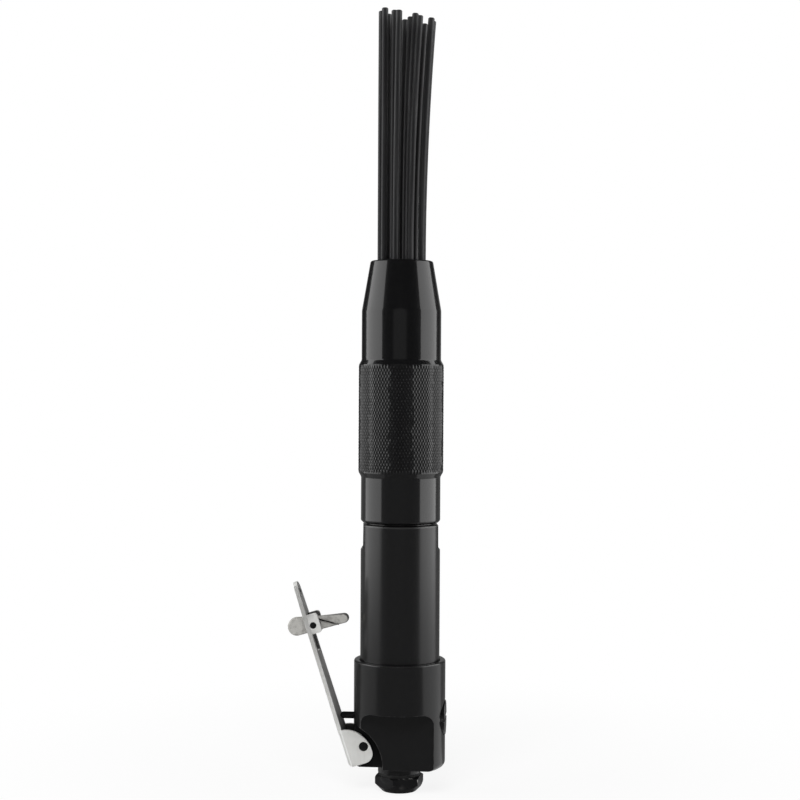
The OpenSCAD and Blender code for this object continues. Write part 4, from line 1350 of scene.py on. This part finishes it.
@dataclass
class LockLatch:
    """The cast latch in the lever, and the torsion spring beside it."""

    place: LeverPlace
    low: float = -0.9
    high: float = 3.1
    root: float = 3.3
    finger: float = 14.2
    finger_tip: float = 2.2
    finger_turn: float = -6.3
    lobe: float = 8.6
    lobe_tip: float = 4.3
    lobe_turn: float = 172.0
    pin_radius: float = 1.55
    coil_radius: float = 2.9
    wire: float = 0.6
    coil_low: float = -3.15
    coil_high: float = -1.35
    leg_front: float = 11.3
    leg_back: float = 5.7
    coil_start: float = 37.0
    coil_end: float = -662.0
    coil_points: int = 65
    edge: float = 0.8

    def outline(self) -> list[Point2]:
        """Draws the latch from its side.

        Returns:
            Points round the finger, the thumb lobe and the round part at its pin.
        """
        def spread(tip: float, length: float) -> float:
            """Angle at which the tangents leave the round part, in degrees."""
            return math.degrees(math.acos((self.root - tip) / length))

        def end(turn: float, length: float) -> Point2:
            """Middle of an arm's round end."""
            return length * math.cos(math.radians(turn)), length * math.sin(math.radians(turn))

        f, b = spread(self.finger_tip, self.finger), spread(self.lobe_tip, self.lobe)
        upper, lower = self.finger_turn + f, self.lobe_turn - b
        meet = math.radians((upper + lower) / 2)
        crook = self.root / math.cos(math.radians((upper - lower) / 2))
        return [*arc(end(self.finger_turn, self.finger), self.finger_tip, self.finger_turn - f, upper, 20),
                (crook * math.cos(meet), crook * math.sin(meet)),
                *arc(end(self.lobe_turn, self.lobe), self.lobe_tip, lower, self.lobe_turn + b, 28),
                *arc((0, 0), self.root, self.lobe_turn + b, self.finger_turn - f + 360, 4)]

    def dull(self, spot: Vector, way: Vector) -> float:
        """Paints shade where the faces past the round part look along the finger and up: the finger's end
        and its top.
        """
        return max(0.0, way.x + 0.5 * way.z) if spot.x > self.root else 0.0

    def build(self) -> None:
        """Casts the latch and winds its spring."""
        cast = Form.plate(self.outline(), self.low, self.high).eased(self.edge, 4, 40)
        bored = cast.cut(bar(self.pin_radius, -WIDE, WIDE, Axis.Y, steps=40)).dulled(self.dull)
        bored.moved(self.place.latch_matrix()).piece("cast_latch", "latch", CASTING, "lock_latch")
        self.spring()

    def spring(self) -> None:
        """Winds the torsion spring: one leg on the web, the coil round the pin, one leg on the finger."""
        turn = np.radians(np.linspace(self.coil_start, self.coil_end, self.coil_points))
        rise = np.linspace(self.coil_low, self.coil_high, self.coil_points)
        coil = np.column_stack([self.coil_radius * np.cos(turn), rise, self.coil_radius * np.sin(turn)])
        ways = np.column_stack([np.sin(turn), np.zeros_like(turn), -np.cos(turn)])
        shares = (0.05, 0.33, 0.66, 1)
        back = [coil[0] - ways[0] * self.leg_back * s for s in reversed(shares)]
        front = [coil[-1] + ways[-1] * self.leg_front * s for s in shares]
        seat = self.place.latch_matrix()
        wire = Form.tube(np.vstack([back, coil, front]), self.wire / 2, 8).moved(seat)
        spring = wire.piece("latch_coil", None, OXIDE, "latch_spring", sharp=60.0)
        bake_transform(spring)


@dataclass
class Barrel:
    """The plain barrel with its two spanner flats."""

    radius: float = 18.6
    low: float = 46.0
    shoulder: float = 125.0
    spigot_radius: float = 15.95
    spigot_end: float = 152.0
    flat_out: float = 17.35
    flat_length: float = 10.7
    flat_turn: float = 7.0
    flat_ramp: float = 2.4
    edge: float = 0.35
    chamfer: float = 0.6
    rear_bore: float = 14.6
    rear_bore_end: float = 64.0
    bore: float = 10.0
    guide_bore: float = 11.6
    guide_depth: float = 20.0
    groove_width: float = 2.2
    rear_groove: Point2 = (16.65, 55.9)
    front_groove: Point2 = (14.35, 138.6)
    # How far below the shoulder the painted highlight fades out.
    highlight_end: float = 1.1
    split: Point2 = (0.4, 1.8)

    def groove(self, radius: float, place: Point2) -> list[Point2]:
        """Draws a seal's groove in the outside.

        Args:
            radius: The outside's radius.
            place: The radius of the groove's floor, and the groove's start.

        Returns:
            The groove's corners.
        """
        floor, low = place
        high = low + self.groove_width
        return [(radius, low), (floor, low), (floor, high), (radius, high)]

    def dull(self, spot: Vector, way: Vector) -> float:
        """The shoulder's round edge gets a painted highlight of bare metal, which counts as less than 0.
        """
        near = min(math.hypot(spot.x, spot.y) - self.radius, spot.z - self.shoulder)
        return -float(near > -1.2 * self.edge)

    def build(self) -> None:
        """Turns the barrel, mills its flats and dresses it."""
        r, s, top, end, c = self.radius, self.spigot_radius, self.shoulder, self.spigot_end, self.chamfer
        rear, bore, guide, step = self.rear_bore, self.bore, self.guide_bore, end - self.guide_depth
        tube = Form.turned([
            (rear, self.low), (r - c, self.low), (r, self.low + c), *self.groove(r, self.rear_groove),
            (r, top), (s, top), *self.groove(s, self.front_groove), (s, end - c), (s - c, end),
            (guide, end), (guide, step), (bore, step), (bore, self.rear_bore_end),
            (rear, self.rear_bore_end)], steps=192)
        f, base = self.flat_out, top - self.flat_length
        ramp, foot = self.flat_ramp, base - self.flat_ramp
        wedge = [(f, top + 1), (f, base), (f + ramp, foot), (2 * r, foot), (2 * r, top + 1)]
        spin = Matrix.Rotation(math.radians(self.flat_turn), 4, "Z")
        near = Form.plate(wedge, -2 * r, 2 * r).moved(spin)
        far = Form.plate([(-x, z) for x, z in reversed(wedge)], -2 * r, 2 * r).moved(spin)
        milled = tube.cut(near, far).eased(self.edge, 3)
        for level in (top - self.highlight_end, base - self.split[0], base - self.split[1]):
            milled = milled.scored(level)
        milled.dulled(self.dull).piece("barrel_tube", "tool_body", SATIN, "barrel")


@dataclass
class FrontHousing:
    """The front housing with its knurled grip and conical nose."""

    radius: float = 18.6
    low: float = 125.7
    rear_chamfer: float = 1.1
    knurl_radius: float = 19.95
    knurl_depth: float = 0.19
    knurl_low: float = 149.2
    knurl_high: float = 199.6
    ramp: float = 2.1
    cone_low: float = 224.6
    nose: float = 248.0
    nose_radius: float = 14.6
    rim: float = 1.0
    bore: float = 13.0
    columns: int = 170
    rows: int = 36
    thread_radius: float = 16.0
    thread_end: float = 155.0
    chamber_radius: float = 14.5
    chamber_end: float = 226.0
    bore_chamfer: float = 0.4
    corner: float = 0.5
    cone_round: float = 9.0

    def rings(self) -> list[Point3]:
        """Lays out the rings, from the rear edge round to the bore.

        Returns:
            Radius, height and knurl depth of each.
        """
        r, k = self.radius, self.knurl_radius - self.knurl_depth
        slope = math.atan((r - self.nose_radius) / (self.nose - self.cone_low))
        rim_x = self.nose_radius + self.rim * math.tan(slope) - self.rim / math.cos(slope)
        outside = softened([(self.thread_radius, self.low), (r - self.rear_chamfer, self.low),
                            (r, self.low + self.rear_chamfer), (r, self.knurl_low - self.ramp),
                            (k, self.knurl_low)], self.corner)
        pitch = (self.knurl_high - self.knurl_low) / self.rows
        knurl = [(k, self.knurl_low + pitch * j) for j in range(1, self.rows)]
        step = [(k, self.knurl_high), (r, self.knurl_high + self.ramp), (r, self.cone_low - 1.0)]
        bore, c, lean = self.bore, self.bore_chamfer, math.degrees(slope)
        nose = [*softened(step, self.corner),
                *arc((r - self.cone_round, self.cone_low - 0.7), self.cone_round, 0, lean, 4),
                *arc((rim_x, self.nose - self.rim), self.rim, lean, 90, 6),
                (bore + c, self.nose), (bore, self.nose - c), (bore, self.chamber_end),
                (self.chamber_radius, self.chamber_end), (self.chamber_radius, self.thread_end),
                (self.thread_radius, self.thread_end)]
        return ([(a, b, 0.0) for a, b in outside] + [(a, b, self.knurl_depth) for a, b in knurl]
                + [(a, b, 0.0) for a, b in nose])

    def dull(self, spot: Vector, way: Vector) -> float:
        """The knurl's grooves are dull and its peaks are bare, which counts as less than 0."""
        rise = (math.hypot(spot.x, spot.y) - self.knurl_radius) / self.knurl_depth + 1
        return 1 - 2 * rise if self.knurl_low + 0.1 < spot.z < self.knurl_high - 0.1 else 0.0

    def build(self) -> None:
        """Lays out the rings, raises the knurl's diamonds and dresses the housing."""
        rings, n = self.rings(), self.columns
        points, faces = [], []
        uneven = np.random.default_rng(5).uniform(0.7, 1.0, (len(rings), n))
        for j, (radius, height, depth) in enumerate(rings):
            for k in range(n):
                a, r = 2 * math.pi * k / n, radius + depth * ((j + k) % 2) * uneven[j, k]
                points.append((r * math.cos(a), r * math.sin(a), height))
        for j, ring in enumerate(rings):
            above = (j + 1) % len(rings)
            for k in range(n):
                a, b = j * n + k, j * n + (k + 1) % n
                c, d = above * n + (k + 1) % n, above * n + k
                if not ring[2] and not rings[above][2]:
                    faces.append([a, b, c, d])
                elif (j + k) % 2:
                    faces.extend(([a, b, d], [b, c, d]))
                else:
                    faces.extend(([a, b, c], [a, c, d]))
        Form.of(points, faces).dulled(self.dull).piece(
            "knurled_housing", "tool_body", GLOSS, "front_housing", sharp=9.0, wear=0.2)


@dataclass
class Bundle:
    """One group of needles whose tips stand level.

    Attributes:
        name: The piece's name.
        node: The node that it stands for.
        body: The body that it rides on.
        low: The least X of its needles.
        high: The largest X of its needles.
        play: How far the heads lie behind their seat.
    """

    name: str
    node: str
    body: str
    low: float
    high: float
    play: float


@dataclass
class Needles:
    """The bundle of headed needles, and the spring that draws them back."""

    radius: float = 1.5
    length: float = 178.0
    head_radius: float = 2.2
    head: float = 2.5
    seat: float = 190.0
    nose: float = 249.0
    inner_ring: float = 4.3
    outer_ring: float = 10.0
    inner_turn: float = 71.2
    outer_turn: float = 14.5
    holder: float = 206.0
    twist: float = 3.0
    lean_at: tuple[float, ...] = (-7.0, -4.2, -2.8, -0.8, 1.4, 2.8, 4.1, 5.8)
    lean: tuple[float, ...] = (0.0, 0.3, 1.0, 1.5, 2.1, 3.0, 3.9, 4.3)
    coil_radius: float = 13.1
    coil_wire: float = 2.2
    coil_low: float = 205.2
    coil_high: float = 223.3
    coil_turns: int = 5
    coil_anchor: float = 224.5
    head_chamfer: float = 0.4
    head_round: float = 0.3
    tip_chamfer: float = 0.35
    tip_bright: float = 14.0
    bow: float = 0.12
    bends: int = 16
    sides: int = 14

    def places(self) -> list[Point2]:
        """Spreads the needles, three in an inner ring and nine round them.

        Returns:
            Where they stand.
        """
        def ring(radius: float, count: int, start: float) -> list[Point2]:
            """Places round one ring."""
            return arc((0.0, 0.0), radius, start, start + 360, count)[:-1]

        return [*ring(self.inner_ring, 3, self.inner_turn), *ring(self.outer_ring, 9, self.outer_turn)]

    def group(self, bundle: Bundle, chance: np.random.Generator) -> None:
        """Makes one group of gently bent needles as one piece.

        Args:
            bundle: The group.
            chance: Source of the small differences between needles.
        """
        work = bmesh.new()
        tips: list[float] = []
        shoulder = self.seat - bundle.play
        low, high = shoulder - self.head, shoulder - self.head + self.length
        for x, y in self.places():
            bow = chance.normal(0.0, self.bow, 2)
            if not bundle.low < x < bundle.high:
                continue
            h, r, c, end = self.head_radius, self.radius, self.head_chamfer, self.tip_chamfer
            shaft = np.linspace(self.nose, high - end, self.bends)
            levels = np.array([low, low + c, shoulder - c, shoulder, shoulder + 0.01, self.holder,
                               *shaft, high])
            share = np.clip((levels - self.nose) / (high - self.nose), 0, 1)
            lean = np.interp(x, self.lean_at, self.lean)
            sway = np.outer(share ** 2, (lean, 0.0)) + np.outer(np.sin(math.pi * share) * share, bow)
            twisted = np.clip((levels - self.holder) / (self.nose - self.holder), 0, 1)
            turn = np.radians(self.twist) * twisted
            path = np.column_stack([x * np.cos(turn) - y * np.sin(turn) + sway[:, 0],
                                    x * np.sin(turn) + y * np.cos(turn) + sway[:, 1], levels])
            radii = np.array([h - c, h, h, h - self.head_round, r, r, *[r] * self.bends, r - end])
            work.from_mesh(Form.tube(path, radii, self.sides).mesh)
            bright = np.clip((levels - high + self.tip_bright) / self.tip_bright, 0, 1)
            tips.extend(np.repeat(bright, self.sides))
        layer = work.verts.layers.float.new("tip")
        work.verts.ensure_lookup_table()
        for point, tip in zip(work.verts, tips):
            point[layer] = tip
        mesh = bpy.data.meshes.new(bundle.name)
        work.to_mesh(mesh)
        work.free()
        Form(mesh).piece(bundle.name, bundle.body, WIRE, bundle.node)

    def spring(self) -> None:
        """The return spring, which shortens as the holder goes forward."""
        turn = np.linspace(0, 2 * math.pi * self.coil_turns, 32 * self.coil_turns + 1)
        path = np.column_stack([self.coil_radius * np.cos(turn), self.coil_radius * np.sin(turn),
                                self.coil_low + (self.coil_high - self.coil_low) * turn / turn[-1]])
        wire = Form.tube(path, self.coil_wire / 2, 10)
        coil = wire.piece("return_coil", None, STEEL, "return_spring", sharp=60.0)
        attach(coil, "tool_body")
        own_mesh(coil)

    def build(self) -> None:
        """Makes the three groups and the spring."""
        chance = np.random.default_rng(11)
        for bundle in (Bundle("left_needle_group", "needles_left", "left_needles", -20, -3.5, 0.5),
                       Bundle("middle_needle_group", "needles_middle", "middle_needles", -3.5, 3.5, 2.5),
                       Bundle("right_needle_group", "needles_right", "right_needles", 3.5, 20, 4.9)):
            self.group(bundle, chance)
        self.spring()


@dataclass
class InnerPieces:
    """The pieces of the part that keep their own shape and only get a finish."""

    nodes: Mapping[str, bpy.types.Object]

    def build(self) -> None:
        """Gives each piece its finish."""
        finishes = {
            STEEL: ("rear_valve_block", "disk_valve", "front_valve_block", "locating_pins", "piston",
                    "anvil", "needle_holder", "spring_washer"),
            BRASS: ("inlet_screen", "valve_seat", "anvil_guide"),
            RUBBER: ("inlet_seal", "plug_oring", "poppet_seal", "stem_oring", "barrel_oring",
                     "buffer_ring", "front_oring")}
        for finish, names in finishes.items():
            for name in names:
                slots = self.nodes[name].data.materials
                slots.clear()
                slots.append(finish.material())
                LOG.info("%s: finished as %s", name, finish.name)


@dataclass
class Panel:
    """A soft light.

    Attributes:
        name: The light's name.
        middle: Its place, in metres.
        target: What it faces, in metres.
        size: Its width and height, in metres.
        glow: How bright it looks, where 1 is white.
        mirrored: Whether glossy surfaces show it.
    """

    name: str
    middle: Point3
    target: Point3
    size: Point2
    glow: float
    mirrored: bool = True

    def build(self) -> None:
        """Hangs the light."""
        data = bpy.data.lights.new(self.name, "AREA")
        data.shape = "RECTANGLE"
        data.size, data.size_y = self.size
        data.energy = self.glow * math.pi * self.size[0] * self.size[1]
        made = linked(self.name, data)
        made.location = self.middle
        made.rotation_mode = "QUATERNION"
        made.rotation_quaternion = (Vector(self.target) - Vector(self.middle)).to_track_quat("-Z", "Y")
        made.visible_camera = False
        made.visible_glossy = self.mirrored


@dataclass
class Studio:
    """The pale floor, the soft lights and the camera."""

    lens: float = 72.0
    distance: float = 0.75
    azimuth: float = 4.5
    height: float = 0.1924
    aim: Point3 = (-0.00054, 0.0, 0.183)
    roll: float = 0.3
    floor_radius: float = 6.0
    floor_level: float = -0.0002
    floor_sides: int = 64

    def camera(self) -> None:
        """Sets the camera up at the photograph's angle."""
        data = bpy.data.cameras.new("camera")
        data.lens, data.sensor_width = self.lens, 36.0
        data.clip_start, data.clip_end = 0.01, 50.0
        made = linked("camera", data)
        a = math.radians(self.azimuth)
        made.location = (self.distance * math.sin(a), -self.distance * math.cos(a), self.height)
        made.rotation_mode = "QUATERNION"
        look = (Vector(self.aim) - made.location).to_track_quat("-Z", "Y")
        made.rotation_quaternion = look @ Matrix.Rotation(math.radians(self.roll), 3, "Z").to_quaternion()
        bpy.context.scene.camera = made

    def world(self) -> None:
        """A white backdrop to the eye and in reflections, a dim room in front of it."""
        world = bpy.data.worlds.new("studio")
        bpy.context.scene.world = world
        world.use_nodes = True
        graph = Graph(world.node_tree)
        camera, glossy, through = (graph.ray(kind) for kind in ("Camera", "Glossy", "Transmission"))
        way = graph.node("ShaderNodeTexCoord", output="Generated")
        depth = graph.node("ShaderNodeSeparateXYZ", {}, {0: way}, "Y")
        room = 0.02 + depth.step(0.84, 0.97) * 0.2 + depth.step(-0.92, -0.97) * 0.18
        plain = 1 - camera.larger(glossy).larger(through)
        strength = camera.larger(through) + glossy * room + plain * 0.12
        light = graph.node("ShaderNodeBackground", {}, {"Color": (1, 1, 1, 1), "Strength": strength})
        graph.node("ShaderNodeOutputWorld", {}, {"Surface": light})

    def floor(self) -> None:
        """A wide white floor that keeps a faint shadow."""
        mesh = bpy.data.meshes.new("floor")
        ring = arc((0.0, 0.0), self.floor_radius, 0, 360, self.floor_sides)[:-1]
        mesh.from_pydata([(x, y, self.floor_level) for x, y in ring], [], [tuple(range(self.floor_sides))])
        made = linked("floor", mesh)
        material = bpy.data.materials.new("floor paper")
        material.use_nodes = True
        graph = Graph(material.node_tree)
        camera, glossy = (graph.ray(kind) for kind in ("Camera", "Glossy"))
        at = graph.place()
        fibre = graph.noise(at, 300, 3)
        far = graph.node("ShaderNodeVectorMath", {"operation": "LENGTH"}, {0: at}, "Value")
        turn = math.radians(self.azimuth)
        across = graph.node("ShaderNodeVectorMath", {"operation": "DOT_PRODUCT"},
                            {0: at, 1: (math.cos(turn), math.sin(turn), 0.0)}, "Value")
        lit = 0.22 + across.step(-0.05, 0.05) * 0.36 + far.step(0.45, 0.8) * 0.45
        beside = (across * across / (far * far)).step(0.68, 0.75) * lit
        paper = graph.node("ShaderNodeBsdfDiffuse", {}, {
            "Color": graph.mix(fibre, (0.84, 0.84, 0.84, 1), (0.88, 0.88, 0.88, 1))})
        glow = graph.node("ShaderNodeVectorMath", {"operation": "SCALE"},
                          {0: (1, 1, 1), "Scale": camera + glossy * (0.15 + beside)})
        white = graph.node("ShaderNodeEmission", {}, {"Color": glow})
        share = camera * (0.86 + far.step(0.05, 0.3) * 0.14) + glossy
        mixed = graph.node("ShaderNodeMixShader", {}, {0: share, 1: paper, 2: white})
        graph.node("ShaderNodeOutputMaterial", {}, {"Surface": mixed})
        mesh.materials.append(material)

    def build(self) -> None:
        """Sets up the camera, the floor, the lights and the view."""
        self.camera()
        self.world()
        self.floor()
        middle = (0.0, 0.0, 0.18)
        for panel in (Panel("left panel", (-0.75, -0.1, 0.5), (0.0, -0.1, 0.5), (0.95, 0.6), 2.0),
                      Panel("right panel", (0.75, 0.064, 0.5), (0.0, 0.064, 0.5), (0.94, 0.6), 2.0),
                      Panel("low left panel", (-0.75, -0.1, 0.1), (0.0, -0.1, 0.1), (0.95, 0.2), 0.9),
                      Panel("low right panel", (0.75, 0.064, 0.1), (0.0, 0.064, 0.1), (0.94, 0.2), 0.9),
                      Panel("front panel", (-0.1, -0.99, 1.17), middle, (0.9, 0.6), 9.6, False)):
            panel.build()
        bpy.context.scene.view_settings.view_transform = "Standard"


def main() -> None:
    """Builds every sub-assembly and the studio."""
    logging.basicConfig(level=logging.INFO, format="%(message)s")
    place = LeverPlace()
    assemblies = (InletBushing(), ValveHousing(place), Throttle(), ThrottleLever(place), LockLatch(place),
                  Barrel(), FrontHousing(), Needles(), InnerPieces(frame["nodes"]), Studio())
    for assembly in assemblies:
        LOG.info("building %s", type(assembly).__name__)
        assembly.build()


if __name__ == "__main__":
    main()
